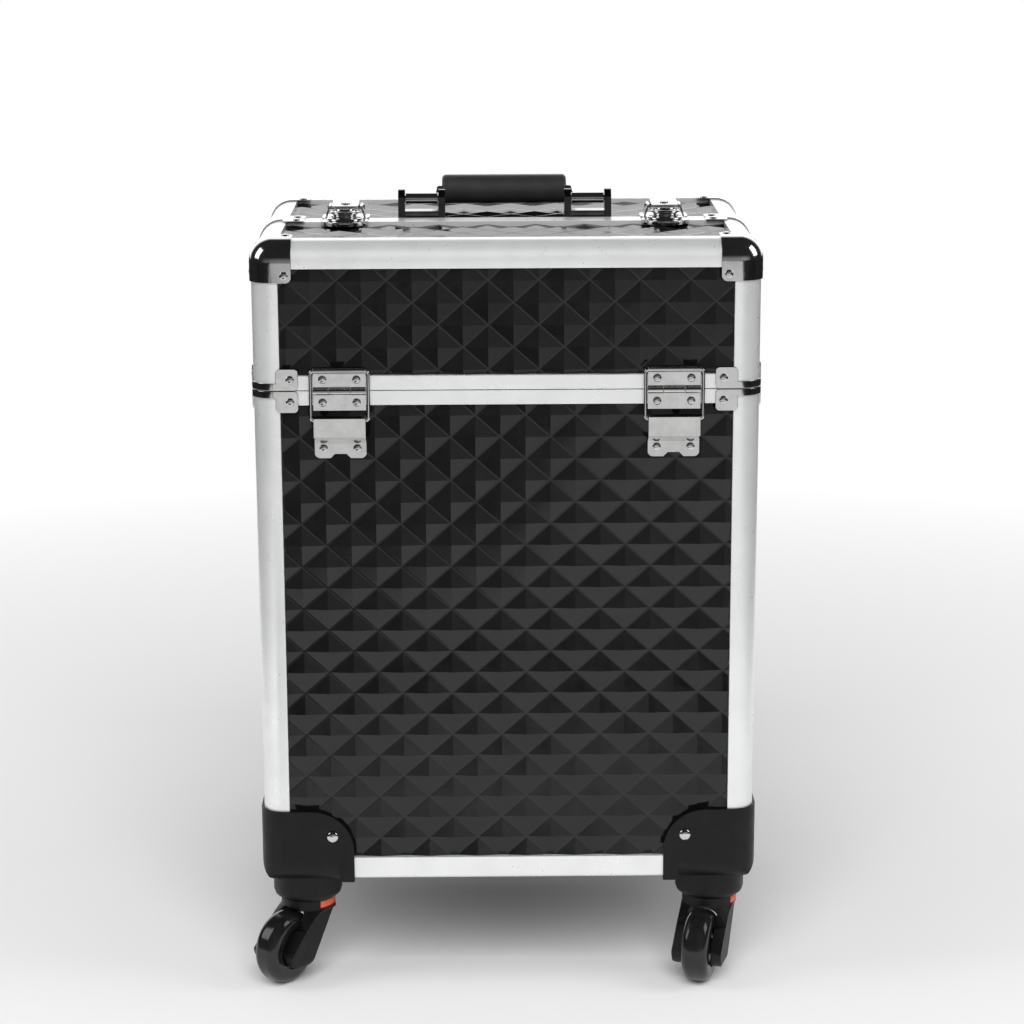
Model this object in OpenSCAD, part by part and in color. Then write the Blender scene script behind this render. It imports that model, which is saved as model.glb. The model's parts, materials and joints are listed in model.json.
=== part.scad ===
// Rolling makeup case: a hard case that stands on four swivel casters.
// The base box carries a front and a rear flap. The flaps meet at a seam across the top
// and fold outwards on stop hinges, and each one lifts out a tray that stays level.
// Units are millimetres. X runs to the right, Y to the rear and Z up.
// The origin lies on the ground under the middle of the case.

/* [Case] */
// Width over the side rails
case_w = 350; // [330:1:400]
// Depth over the front and rear rails
case_d = 248; // [240:1:290]
// Height of the base from its underside up to the seam
base_h = 356; // [260:1:420]
// Height of the flaps from the seam up to the top
flap_h = 103; // [101:1:120]
// Depth of the front flap from the front face back to the top seam
front_flap_d = 112; // [110:1:120]
// Height of the base underside above the ground
ground_clear = 80; // [80:1:100]
// Gap left between the base and the flaps and between the two flaps
seam_gap = 0.5; // [0.4:0.1:1]

/* [Rails and panels] */
// Width of the corner rails on each face
rail_w = 19; // [18:0.5:21]
// Width of the bottom rails on each face
bottom_rail_w = 16; // [15.5:0.5:18]
// Outside rounding of the rails
rail_r = 15; // [10:0.5:15]
// Outside rounding of the bottom rails
bottom_rail_r = 2.5; // [1:0.5:5]
// Depth of the rail arms from the outside
rail_t = 8; // [7.5:0.5:9]
// Width of the straight rails along the seams
rim_h = 10; // [9:0.5:11]
// Thickness of the panels
panel_t = 5; // [3:0.5:5]
// Set-back of the panels behind the rails
panel_recess = 2; // [1.5:0.5:2.5]
// Thickness of the lining
lining_t = 2; // [1:0.5:2]

/* [Corner hardware] */
// Thickness of the pressed corner hardware
plate_t = 1.2; // [0.8:0.1:1.6]
// Length of the corner caps along each edge
cap_len = 28.5; // [26:0.5:32]
// Rivet distance of the corner caps from both edges
cap_rivet = 23.4; // [22:0.1:24]
// Rounding of the free corners of the caps
cap_round = 4.5; // [2:0.5:5]
// Length of the seam clips from the corner
clip_len = 31.6; // [30:0.1:34]
// Width of the tabs at the ends of the seam clips
clip_tab_w = 15.5; // [12:0.5:17]
// Height of the tabs at the ends of the seam clips
clip_tab_h = 15; // [12:0.5:17]
// Height of the strap that runs round the corner in a seam clip
clip_strap_h = 5; // [4:0.5:8]
// Rounding of the tabs of the seam clips
clip_round = 3; // [1:0.5:4]
// Rivet distance of the seam clips from the corner
clip_rivet = 26; // [24:0.5:27]
// Radius of the rivet heads
rivet_r = 2.9; // [1.8:0.1:3]
// Height of the rivet heads
rivet_h = 1; // [0.6:0.1:1.4]

/* [Stop hinges] */
// Sideways place of the stop hinges
hinge_x = 115; // [100:1:118]
// Width of the hinge leaves
leaf_w = 36.4; // [32:0.2:36.6]
// Height of the hinge leaves from the pin
leaf_h = 13.8; // [13.6:0.1:14.4]
// Radius of the hinge knuckles
knuckle_r = 2.4; // [2.2:0.1:2.6]
// Length of the middle knuckle
knuckle_mid = 14.5; // [12:0.5:18]
// Radius of the hinge pins
hinge_pin_r = 1.1; // [0.9:0.1:1.3]
// Radial clearance of the turning pins
pin_clear = 0.05; // [0.03:0.01:0.08]
// Radius of the stay wire
stay_wire_r = 1.2; // [1:0.1:1.3]
// Outside width of the stay rings
stay_w = 42.1; // [41.6:0.1:44]
// Height from the hinge pin to the upper run of the stay rings
stay_up = 14.1; // [14.1:0.1:14.4]
// Height from the hinge pin to the lower run of the stay rings
stay_down = 20.3; // [20:0.1:21]
// Bend radius of the stay rings
stay_bend = 2; // [1.5:0.1:2.2]
// Width of the guide tongues
tongue_w = 36; // [32:0.5:37]
// Rivet distance to the sides of the hinge middle
leaf_rivet_x = 11.7; // [10:0.1:13]

/* [Latches] */
// Sideways place of the latches
latch_x = 114.5; // [100:0.5:120]
// Width of the latch feet
latch_w = 34; // [33:0.5:36]
// Width of the latch levers
lever_w = 19; // [18:0.5:22]
// Radius of the round foot of each catch
catch_r = 17; // [16:0.5:18]

/* [Carry handle] */
// Sideways place of the handle brackets
bracket_x = 60; // [58:0.5:70]
// Width of the handle brackets
bracket_w = 34; // [32:0.5:38]
// Depth of the handle brackets
bracket_d = 14; // [13:0.5:18]
// Thickness of the bracket ears
ear_t = 5; // [4:0.5:6]
// Distance of the handle pivot behind the top seam
handle_back = 22; // [20:0.5:26]
// Height of the handle pivot above the top panel
handle_up = 14.5; // [14:0.5:16]
// Length of the bail from its pivot to the grip
bail_len = 56; // [50:1:60]
// Radius of the bail wire
bail_r = 2.6; // [2.2:0.1:3]
// Radius of the grip
grip_r = 10.7; // [9:0.1:11]
// Length of the grip
grip_len = 92; // [84:1:94]

/* [Casters] */
// Distance of the swivel axes inside the faces
caster_in = 29; // [28:0.5:33]
// Length of the caster housings from the corner
housing_len = 64.5; // [60:0.5:70]
// Height of the caster housings above the base underside
housing_h = 51; // [46:0.2:56]
// Wall of the caster housings
housing_t = 2; // [1.5:0.5:2]
// Rounding of the upper inner corner of the housing walls
housing_round = 30; // [20:1:32]
// Radius of the wheels
wheel_r = 26; // [22:0.5:27]
// Width of the wheels
wheel_w = 19.5; // [18:0.5:23]
// Distance of the wheel axles from the swivel axes
trail = 27; // [22:0.5:28]
// Swivel of the front left caster
swivel_front_left = -36; // [-60:1:60]
// Swivel of the front right caster
swivel_front_right = -17; // [-60:1:60]

/* [Trays] */
// Width of the trays from front to rear
tray_d = 88; // [80:1:88]
// Height of the trays
tray_h = 36; // [30:1:36]
// Wall of the trays
tray_wall = 2; // [1.5:0.5:2.5]
// Clearance at each end of the trays
tray_end = 9; // [8:0.5:12]

/* [Hidden] */
$fn = 48;
hw = case_w / 2;
hd = case_d / 2;
rear_flap_d = case_d - front_flap_d;
half_gap = seam_gap / 2;
seam_z = ground_clear + base_h;
top_z = seam_z + flap_h;
panel_top = top_z - panel_recess;
base_rim_z = seam_z - half_gap;
flap_rim_z = seam_z + half_gap;
// Butt joint left open between neighbouring rails
butt = 0.2;
overlap = 0.01;
span_x = hw - rail_w;
span_y = hd - rail_w;
// Inside faces of the linings
lining_x = hw - rail_t - lining_t;
lining_y = hd - rail_t - lining_t;
// Set-back of the linings from the rim rails
lining_gap = 1;
// Room round the tray pivots in the linings
lining_hole = 0.3;
// Overrun of a cut past the faces that it opens
over = 1;
// Room round the caster housings in the floor
floor_gap = 1;

// Hinge axis of the front flap, its knuckles held just clear of the rails
hinge_clear = 0.3;
axis_y = -hd - knuckle_r - hinge_clear;
// Gap between the knuckles and the leaves that pass them
knuckle_clear = 0.4;
leaf_foot = knuckle_r + knuckle_clear;
// Room of the stay wire in its hook, and how far the hook opens above the wire's middle
hook_clear = 0.25;
hook_open = 0.6;
// Heights in the guide tongue below the hinge pin, and how far the bridge stands out
bridge_out = 8.2;
bridge_top = 18;
bridge_low = 31.5;
foot_top = 37;
foot_low = 47.7;
foot_round = 4;
// Notch in the lower edge of the guide tongue
notch_w = 14;
notch_h = 3;
// Rivets of the hinges above and below the pin
leaf_rivet_z = 8;
tongue_rivet_z = 40.6;

// Latch places in the direction of depth, seen from the seam
seam_y = -hd + front_flap_d;
catch_back = 6;
catch_mid = 9.5;
base_front = 1;
base_back = 25;
base_round = 6;
lever_pivot = [18, 7];
lever_pin_r = 1.5;
lever_tip = 5;
lever_end = 22;
lever_t = 2;
// Heights of the lever plate above the top at its tip and at its end
lever_low = 10.5;
lever_high = 11.5;
// Radii and heights of the stepped nose on each catch: foot, waist, bead and head
nose_foot = [13, 2.4];
nose_waist = [8.5, 3.8, 4.8];
nose_bead = [10.5, 5.6, 7];
nose_head = [7.5, 8, 9.2];
// Side flanges of the lever
flange_t = 1.5;
flange_start = 3;
flange_low = 4;
flange_front = 6;
// Side cheeks of the latch foot, which spread outwards below
cheek_gap = 1;
cheek_t = 1.5;
cheek_x = lever_w / 2 + cheek_gap;
cheek_h = 9.5;
cheek_spread = 3;
cheek_front = 4;
cheek_back = 22;
// Round lock in the lever with its key slot
lock_r = 3.2;
lock_y = 6;
lock_low = 6;
lock_h = 5.6;
key_w = 1;
key_len = 3.6;
key_deep = 1.5;

// Carry handle
handle_y = seam_y + handle_back;
handle_z = panel_top + handle_up;
handle_pin_r = 2;
ear_r = 6.6;
// How far the feet of the ears stand forward
ear_lean = 2.5;
bracket_base = 6;
barrel_r = 3.9;
barrel_gap = 0.4;
barrel_in = bracket_x - bracket_w / 2 + ear_t + barrel_gap;
barrel_out = bracket_x + bracket_w / 2 - ear_t - barrel_gap;
bail_bend = 5;
// Place of the bail arms, set in a little from the inner ends of the barrels
arm_set = 0.6;
arm_in = barrel_in + bail_r + arm_set;
grip_round = 3;

// Tray linkage seen from the hinge axis
tray_pivot = [55.4, 45];
arm_offset = [34, -6];
arm_r = 6;
arm_t = 2;
arm_gap = 2;
// How far the arm pins stand past the arms
pin_proud = 0.5;
tray_pin_r = 2.5;
tray_half = lining_x - tray_end + arm_t;
arm_x = tray_half + arm_gap;
// Tray pivot inside the tray, from its front bottom edge
tray_in = [40, 12];
// Cross walls of the trays
divider_x = 52;

// Neck of the swivel: radii and depths below the underside, from its lower end up
neck_low = [20.5, 21.3];
neck_mid = [23.8, 19];
neck_edge = [24.8, 15.8];
// Rounded outer edge of the sole below a housing: its radius, how far it sets the underside in, the height
// of its centre above the underside, and its length from the corner
sole_r = 15;
sole_in = 8.5;
sole_up = sqrt(pow(sole_r, 2) - pow(sole_r - sole_in, 2));
sole_len = caster_in + neck_edge[0];
// Start of the bottom rails behind the end of the sole
rail_start = sole_len + housing_t + butt;
// Screws of the caster housings and the boss of the swivel
screw_r = 4.2;
screw_h = 2.2;
screw_at = [49.3, 32.4];
boss_r = 12;
boss_h = 8;
// Fork and kingpin
fork_gap = 0.4;
fork_top = ground_clear - neck_low[1] - fork_gap;
fork_plate = 4;
fork_r = 19.5;
fork_neck = 5;
fork_hub_r = 14;
fork_leg_t = 7.6;
leg_round = 5;
// Side outline of the fork: waist in front, rear edge below the neck, and where that edge meets the hub
fork_waist = [-25, 38.3];
fork_back = [6, 49.3];
hub_turn = -31;
// Height below the fork top at which the round neck starts to spread, and its slope
spread_start = 7;
spread = 0.95;
wheel_gap = 0.8;
// Room over the wheel in the fork and the rounding of that slot
slot_gap = 2;
slot_round = 4;
fork_in = wheel_w / 2 + wheel_gap;
fork_out = fork_in + fork_leg_t;
kingpin_r = 4;
kingpin_head_r = 7;
kingpin_head_h = 3;
head_gap = 0.3;
head_room = 0.8;
axle_r = 3;
// Turn of a rear caster against the one across from it
rear_turn = 180;
// Rounding of the tread, and the dished ring round the hub
tread_round = 7;
hub_r = 15;
hub_dish = 2;
hub_core_r = 6;

// Placing helpers

// Draws the children on the left and mirrored on the right
module both_sides() {
  children();
  mirror([1, 0, 0]) children();
}

// Draws the children at the front and mirrored at the rear
module both_ends() {
  children();
  mirror([0, 1, 0]) children();
}

// Mirrors the children from the front to the rear
module at_rear() {
  mirror([0, 1, 0]) children();
}

// Extrudes a profile in Y and Z along X, centred
module along_x(length) {
  rotate([90, 0, 90]) linear_extrude(length, center = true) children();
}

// Extrudes a profile in X and Z along Y from y0 to y1
module along_y(y0, y1) {
  translate([0, y1, 0]) rotate([90, 0, 0]) linear_extrude(y1 - y0) children();
}

// Box from one corner to the opposite one
module box(low, high) {
  translate(low) cube(high - low);
}

// Shapes used more than once

// Square with its corner at the origin rounded, grown outwards by out
module round_square(size, r, out = 0) {
  translate([r, -out]) square([size - r, size + out]);
  translate([-out, r]) square([size + out, size - r]);
  intersection() {
    translate([r, r]) circle(r + out);
    translate([-out, -out]) square(r + out + overlap);
  }
}

// Rectangle from the origin with rounded corners
module round_rect(size, r) {
  translate([r, 0]) square(size - [2 * r, 0]);
  translate([0, r]) square(size - [0, 2 * r]);
  for (x = [r, size[0] - r], y = [r, size[1] - r]) translate([x, y]) circle(r);
}

// Cuts the corner of a wall in the XZ plane to a round, from depth y0 to y1
module corner_trim(at, r, y0, y1) {
  along_y(y0, y1) difference() {
    translate(at - [r, r]) square(r + over);
    translate(at - [r, r]) circle(r);
  }
}

// Angle rail section with a rounded outside corner
module rail_section(w, r = rail_r) {
  difference() {
    round_square(w, r);
    translate([rail_t, rail_t]) square(w);
  }
}

// Corner of a rounded block, grown outwards by out
module round_corner(size, r, out) {
  low = -out;
  translate([low, r, r]) cube(size - [low, r, r]);
  translate([r, low, r]) cube(size - [r, low, r]);
  translate([r, r, low]) cube(size - [r, r, low]);
  intersection() {
    union() {
      translate([r, r, r]) rotate([0, 90, 0]) cylinder(r = r + out, h = size[0] - r);
      translate([r, r, r]) rotate([-90, 0, 0]) cylinder(r = r + out, h = size[1] - r);
      translate([r, r, r]) cylinder(r = r + out, h = size[2] - r);
      translate([r, r, r]) sphere(r + out);
    }
    translate([low, low, low]) cube(size - [low, low, low]);
  }
}

// Outline round two circles and the tangents between them
module link2d(p1, r1, p2, r2) {
  d = norm(p2 - p1);
  dir = atan2(p2[1] - p1[1], p2[0] - p1[0]);
  spread = acos((r1 - r2) / d);
  up = [cos(dir + spread), sin(dir + spread)];
  down = [cos(dir - spread), sin(dir - spread)];
  translate(p1) circle(r1);
  translate(p2) circle(r2);
  polygon([p1 + r1 * down, p2 + r2 * down, p2 + r2 * up, p1 + r1 * up]);
}

// Domed rivet head standing on z 0
module rivet(r = rivet_r, h = rivet_h) {
  dome = (r * r + h * h) / (2 * h);
  rotate_extrude() intersection() {
    translate([0, h - dome]) circle(dome);
    square([r + over, h]);
  }
}

// Rivet head on a plane facing the front
module front_rivet() {
  rotate([90, 0, 0]) rivet();
}

// Rivet head on a plane facing the left
module left_rivet() {
  rotate([0, -90, 0]) rivet();
}

// Quarter bend of a wire in the XY plane, turned to start at the angle given
module wire_bend(bend, r, start) {
  rotate([0, 0, start]) rotate_extrude(angle = 90) translate([bend, 0]) circle(r);
}

// Corner hardware

// Strap and two tabs round a rail corner at the origin, standing up from z 0
module clip() {
  linear_extrude(clip_strap_h) difference() {
    round_square(clip_len - clip_tab_w / 2, rail_r, plate_t);
    round_square(clip_len, rail_r);
  }
  clip_tab();
  mirror([1, -1, 0]) clip_tab();
}

// Tab of a clip on the front face
module clip_tab() {
  along_y(-plate_t, 0) translate([clip_len - clip_tab_w, 0])
    round_rect([clip_tab_w, clip_tab_h], clip_round);
}

// Rivets of one clip
module clip_rivets() {
  translate([clip_rivet, -plate_t, clip_tab_h / 2]) front_rivet();
  translate([-plate_t, clip_rivet, clip_tab_h / 2]) left_rivet();
}

// Draws a clip or its rivets at the front corners of a flap above the hinge seam
module at_flap_rim() {
  both_sides() translate([-hw, -hd, flap_rim_z]) children();
}

// Draws a clip or its rivets where the top seam of a flap of depth d meets the side rails
module at_top_seam(d) {
  both_sides() translate([-hw, -hd + d - half_gap, top_z])
    rotate([90, 0, 0]) mirror([0, 1, 0]) children();
}

// Shell of a corner cap with its corner at the origin and its free corners rounded
module cap_shell() {
  difference() {
    round_corner([cap_len, cap_len, cap_len], rail_r, plate_t);
    round_corner([cap_len + over, cap_len + over, cap_len + over], rail_r, 0);
    cap_trim();
    mirror([1, -1, 0]) cap_trim();
    mirror([0, 1, -1]) cap_trim();
  }
}

module cap_trim() {
  corner_trim([cap_len, cap_len], cap_round, -plate_t - over, overlap);
}

// Rivets of one corner cap
module cap_rivets() {
  translate([cap_rivet, -plate_t, cap_rivet]) front_rivet();
  translate([-plate_t, cap_rivet, cap_rivet]) left_rivet();
  translate([cap_rivet, cap_rivet, -plate_t]) mirror([0, 0, 1]) rivet();
}

// Draws a corner cap or its rivets at the top front corners
module at_top_corners() {
  both_sides() translate([-hw, -hd, top_z]) mirror([0, 0, 1]) children();
}

// Base box

module base_posts() {
  color("gainsboro") both_ends() both_sides()
    translate([-hw, -hd, ground_clear + bottom_rail_w + butt])
      linear_extrude(base_h - half_gap - bottom_rail_w - butt) rail_section(rail_w);
}

module base_bottom_rails() {
  color("gainsboro") {
    both_ends() along_x(2 * (hw - rail_start))
      translate([-hd, ground_clear]) rail_section(bottom_rail_w, bottom_rail_r);
    both_sides() along_y(-hd + rail_start, hd - rail_start)
      translate([-hw, ground_clear]) rail_section(bottom_rail_w, bottom_rail_r);
  }
}

module base_rim_rails() {
  low = base_rim_z - rim_h;
  color("gainsboro") {
    both_ends() box([-span_x + butt, -hd, low], [span_x - butt, -hd + rail_t, base_rim_z]);
    both_sides() box([-hw, -span_y + butt, low], [-hw + rail_t, span_y - butt, base_rim_z]);
  }
}

// Plain plate of the front panel, also used mirrored at the rear
module base_end_panel() {
  box([-span_x, -hd + panel_recess, ground_clear + bottom_rail_w],
      [span_x, -hd + panel_recess + panel_t, base_rim_z - rim_h]);
}

module base_front_panel() {
  color("dimgray") base_end_panel();
}

module base_rear_panel() {
  color("dimgray") at_rear() base_end_panel();
}

module base_side_panels() {
  color("dimgray") both_sides()
    box([-hw + panel_recess, -span_y, ground_clear + bottom_rail_w],
        [-hw + panel_recess + panel_t, span_y, base_rim_z - rim_h]);
}

// Floor plate with its corners left free for the caster housings
module base_floor() {
  low = ground_clear + panel_recess;
  cut = housing_len + floor_gap;
  color("dimgray") difference() {
    box([-hw + bottom_rail_w, -hd + bottom_rail_w, low],
        [hw - bottom_rail_w, hd - bottom_rail_w, low + panel_t]);
    both_ends() both_sides()
      box([-hw, -hd, low - over], [-hw + cut, -hd + cut, low + panel_t + over]);
  }
}

// Open box that lines the base up to the rim rails
module base_lining() {
  low = ground_clear + rail_t;
  high = base_rim_z - rim_h - lining_gap;
  out = [lining_x + lining_t, lining_y + lining_t];
  color("black") difference() {
    box([-out[0], -out[1], low], [out[0], out[1], high]);
    box([-lining_x, -lining_y, low + lining_t], [lining_x, lining_y, high + over]);
  }
}

// Draws a clip or its rivets at the four corners below the hinge seam
module at_base_rim() {
  both_ends() both_sides() translate([-hw, -hd, base_rim_z]) mirror([0, 0, 1]) children();
}

module base_clips() {
  color("silver") at_base_rim() clip();
}

module base_fasteners() {
  color("silver") {
    at_base_rim() clip_rivets();
    at_hinges() {
      translate([-leaf_rivet_x, 0, 0]) lower_hinge_rivets();
      translate([leaf_rivet_x, 0, 0]) lower_hinge_rivets();
    }
    both_ends() both_sides() housing_screws();
  }
}

// One column of rivets in the fixed half of a hinge
module lower_hinge_rivets() {
  translate([0, -hd - plate_t, seam_z - leaf_rivet_z]) front_rivet();
  translate([0, -hd + panel_recess - plate_t, seam_z - tongue_rivet_z]) front_rivet();
}

// Stop hinges

// Draws the children at the two hinges of the front and of the rear
module at_hinges() {
  both_ends() at_front_hinges() children();
}

module at_front_hinges() {
  translate([-hinge_x, 0, 0]) children();
  translate([hinge_x, 0, 0]) children();
}

// Section of a knuckle with the root of its leaf above it, open for the pin
module knuckle_section() {
  difference() {
    union() {
      translate([axis_y, seam_z]) circle(knuckle_r);
      translate([-hd - plate_t, seam_z]) square([plate_t, leaf_foot + over]);
    }
    translate([axis_y, seam_z]) circle(hinge_pin_r + pin_clear);
  }
}

// Knuckle from x0 to x1
module knuckle(x0, x1) {
  translate([(x0 + x1) / 2, 0, 0]) along_x(x1 - x0) knuckle_section();
}

// Leaf below the hinge pin with the middle knuckle
module lower_leaf() {
  mid = knuckle_mid / 2;
  translate([0, 0, 2 * seam_z]) mirror([0, 0, 1]) {
    box([-leaf_w / 2, -hd - plate_t, seam_z + leaf_foot], [leaf_w / 2, -hd, seam_z + leaf_h]);
    knuckle(-mid, mid);
  }
}

module hinge_lower_leaves() {
  color("silver") at_hinges() lower_leaf();
}

// Section of the upper leaf with the hook that keeps the stay ring, open to the lower front
module upper_leaf_section() {
  hook_z = seam_z + stay_up;
  eye_r = stay_wire_r + hook_clear;
  difference() {
    union() {
      translate([-hd - plate_t, seam_z + leaf_foot]) square([plate_t, stay_up - leaf_foot]);
      translate([axis_y, hook_z]) circle(knuckle_r);
    }
    translate([axis_y, hook_z]) circle(eye_r);
    translate([axis_y - knuckle_r - over, hook_z - knuckle_r - over])
      square([knuckle_r + over, knuckle_r + over + hook_open]);
  }
}

// Leaf above the hinge pin with the two outer knuckles
module upper_leaf() {
  mid = knuckle_mid / 2 + knuckle_clear;
  along_x(leaf_w) upper_leaf_section();
  knuckle(-leaf_w / 2, -mid);
  knuckle(mid, leaf_w / 2);
}

module front_hinge_leaves() {
  color("silver") at_front_hinges() upper_leaf();
}

module rear_hinge_leaves() {
  color("silver") at_rear() at_front_hinges() upper_leaf();
}

module hinge_pins() {
  color("silver") at_hinges() translate([-leaf_w / 2, axis_y, seam_z]) rotate([0, 90, 0])
    cylinder(r = hinge_pin_r, h = leaf_w);
}

// Guide tongue: a flat foot on the panel and a raised bridge over the lower run of the ring
module tongue() {
  face = -hd + panel_recess;
  out = -hd - bridge_out;
  lean = atan2(face - plate_t - out, foot_top - bridge_low);
  slope = plate_t * tan(lean / 2);
  intersection() {
    along_x(tongue_w) polygon([
      [face, seam_z - foot_low], [face - plate_t, seam_z - foot_low],
      [face - plate_t, seam_z - foot_top], [out, seam_z - bridge_low],
      [out, seam_z - bridge_top], [out + plate_t, seam_z - bridge_top],
      [out + plate_t, seam_z - bridge_low + slope], [face, seam_z - foot_top + slope]
    ]);
    along_y(out - over, face + over) tongue_outline();
  }
}

// Outline of the guide tongue seen from the front
module tongue_outline() {
  half = tongue_w / 2;
  low = seam_z - foot_low;
  difference() {
    union() {
      translate([-half, low + foot_round]) square([tongue_w, foot_low]);
      translate([-half + foot_round, low]) square([tongue_w - 2 * foot_round, foot_low]);
      translate([-half + foot_round, low + foot_round]) circle(foot_round);
      translate([half - foot_round, low + foot_round]) circle(foot_round);
    }
    polygon([
      [-notch_w / 2 - over, low - over], [notch_w / 2 + over, low - over],
      [notch_w / 2 - notch_h, low + notch_h], [-notch_w / 2 + notch_h, low + notch_h]
    ]);
  }
}

module hinge_tongues() {
  color("silver") at_hinges() tongue();
}

// Wire ring in the XZ plane, its upper run on the hook and its lower run in the tongue
module stay_ring() {
  half = stay_w / 2 - stay_wire_r;
  run = half - stay_bend;
  high = stay_up - stay_bend;
  low = -stay_down + stay_bend;
  translate([0, axis_y, seam_z]) rotate([90, 0, 0]) {
    for (side = [-1, 1]) translate([side * half, low, 0]) rotate([-90, 0, 0])
      cylinder(r = stay_wire_r, h = high - low);
    for (level = [stay_up, -stay_down]) translate([-run, level, 0]) rotate([0, 90, 0])
      cylinder(r = stay_wire_r, h = 2 * run);
    translate([run, high, 0]) wire_bend(stay_bend, stay_wire_r, 0);
    translate([-run, high, 0]) wire_bend(stay_bend, stay_wire_r, 90);
    translate([-run, low, 0]) wire_bend(stay_bend, stay_wire_r, 180);
    translate([run, low, 0]) wire_bend(stay_bend, stay_wire_r, 270);
  }
}

module front_stays() {
  color("silver") at_front_hinges() stay_ring();
}

module rear_stays() {
  color("silver") at_rear() at_front_hinges() stay_ring();
}

// Flaps, drawn at the front with the depth d up to the top seam

module flap_posts() {
  color("gainsboro") both_sides() translate([-hw, -hd, flap_rim_z])
    linear_extrude(flap_h - half_gap - rail_w - butt) rail_section(rail_w);
}

module flap_rails(d) {
  edge = -hd + d - half_gap;
  high = flap_rim_z + rim_h;
  color("gainsboro") {
    along_x(2 * (span_x - butt)) translate([-hd, top_z]) mirror([0, 1]) rail_section(rail_w);
    both_sides() along_y(-span_y + butt, edge)
      translate([-hw, top_z]) mirror([0, 1]) rail_section(rail_w);
    box([-span_x + butt, edge - rim_h, top_z - rail_t], [span_x - butt, edge, top_z]);
    box([-span_x + butt, -hd, flap_rim_z], [span_x - butt, -hd + rail_t, high]);
    both_sides() {
      box([-hw, edge - rim_h, flap_rim_z], [-hw + rail_t, edge, top_z - rail_w - butt]);
      box([-hw, -span_y + butt, flap_rim_z], [-hw + rail_t, edge - rim_h - butt, high]);
    }
  }
}

module flap_end_panel() {
  color("dimgray") box([-span_x, -hd + panel_recess, flap_rim_z + rim_h],
                       [span_x, -hd + panel_recess + panel_t, top_z - rail_w]);
}

module flap_top_panel(d) {
  color("dimgray") box([-span_x, -span_y, panel_top - panel_t],
                       [span_x, -hd + d - half_gap - rim_h, panel_top]);
}

module flap_side_panels(d) {
  color("dimgray") both_sides()
    box([-hw + panel_recess, -span_y, flap_rim_z + rim_h],
        [-hw + panel_recess + panel_t, -hd + d - half_gap - rim_h, top_z - rail_w]);
}

// Lining of the top, the end and the sides, with holes for the tray pivots
module flap_lining(d) {
  low = flap_rim_z + rim_h + lining_gap;
  high = top_z - rail_t;
  edge = -hd + d - half_gap - rim_h;
  out = lining_x + lining_t;
  color("black") difference() {
    box([-out, -lining_y - lining_t, low], [out, edge, high]);
    box([-lining_x, -lining_y, low - over], [lining_x, edge + over, high - lining_t]);
    both_sides() translate([-out - over, axis_y + tray_pivot[0], seam_z + tray_pivot[1]])
      rotate([0, 90, 0]) cylinder(r = tray_pin_r + lining_hole, h = lining_t + 2 * over);
  }
}

module flap_corner_caps() {
  color("silver") at_top_corners() cap_shell();
}

module flap_clips(d) {
  color("silver") {
    at_flap_rim() clip();
    at_top_seam(d) clip();
  }
}

module flap_rivets(d) {
  color("silver") {
    at_top_corners() cap_rivets();
    at_flap_rim() clip_rivets();
    at_top_seam(d) clip_rivets();
    at_front_hinges() for (side = [-1, 1])
      translate([side * leaf_rivet_x, -hd - plate_t, seam_z + leaf_rivet_z]) front_rivet();
  }
}

// Pins on which the tray turns in the flap
module tray_pivots() {
  wall = hw - panel_recess - panel_t;
  color("silver") both_sides()
    translate([-wall, axis_y + tray_pivot[0], seam_z + tray_pivot[1]])
      rotate([0, 90, 0]) cylinder(r = tray_pin_r, h = wall - tray_half + tray_wall);
}

module front_flap_posts() { flap_posts(); }
module front_flap_rails() { flap_rails(front_flap_d); }
module front_flap_front_panel() { flap_end_panel(); }
module front_flap_top_panel() { flap_top_panel(front_flap_d); }
module front_flap_side_panels() { flap_side_panels(front_flap_d); }
module front_flap_corner_caps() { flap_corner_caps(); }
module front_flap_clips() { flap_clips(front_flap_d); }
module front_flap_rivets() { flap_rivets(front_flap_d); }
module front_flap_lining() { flap_lining(front_flap_d); }
module front_tray_pivots() { tray_pivots(); }

module rear_flap_posts() { at_rear() flap_posts(); }
module rear_flap_rails() { at_rear() flap_rails(rear_flap_d); }
module rear_flap_rear_panel() { at_rear() flap_end_panel(); }
module rear_flap_top_panel() { at_rear() flap_top_panel(rear_flap_d); }
module rear_flap_side_panels() { at_rear() flap_side_panels(rear_flap_d); }
module rear_flap_corner_caps() { at_rear() flap_corner_caps(); }
module rear_flap_clips() { at_rear() flap_clips(rear_flap_d); }
module rear_flap_rivets() { at_rear() flap_rivets(rear_flap_d); }
module rear_flap_lining() { at_rear() flap_lining(rear_flap_d); }
module rear_tray_pivots() { at_rear() tray_pivots(); }

// Latches, drawn at x 0 with the depth counted from the top seam

// Round foot plate with a stepped nose that stands in front of the lever
module catch() {
  step = -half_gap - rim_h;
  translate([0, 0, top_z]) linear_extrude(plate_t) catch_plan(-catch_back);
  translate([0, 0, panel_top]) linear_extrude(panel_recess + overlap) catch_plan(step);
  translate([0, -catch_back, top_z]) rotate([0, 0, 180]) rotate_extrude(angle = 180) polygon([
    [0, 0], [nose_foot[0], 0], nose_foot,
    [nose_waist[0], nose_waist[1]], [nose_waist[0], nose_waist[2]],
    [nose_bead[0], nose_bead[1]], [nose_bead[0], nose_bead[2]],
    [nose_head[0], nose_head[1]], [nose_head[0], nose_head[2]], [0, nose_head[2]]
  ]);
}

// Plan of the catch foot in front of the depth given
module catch_plan(back) {
  intersection() {
    translate([0, -catch_mid]) circle(catch_r);
    translate([-catch_r, back - 2 * catch_r]) square(2 * catch_r);
  }
}

module latch_catches() {
  color("silver") for (side = [-1, 1]) translate([side * latch_x, seam_y, 0]) catch();
}

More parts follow.
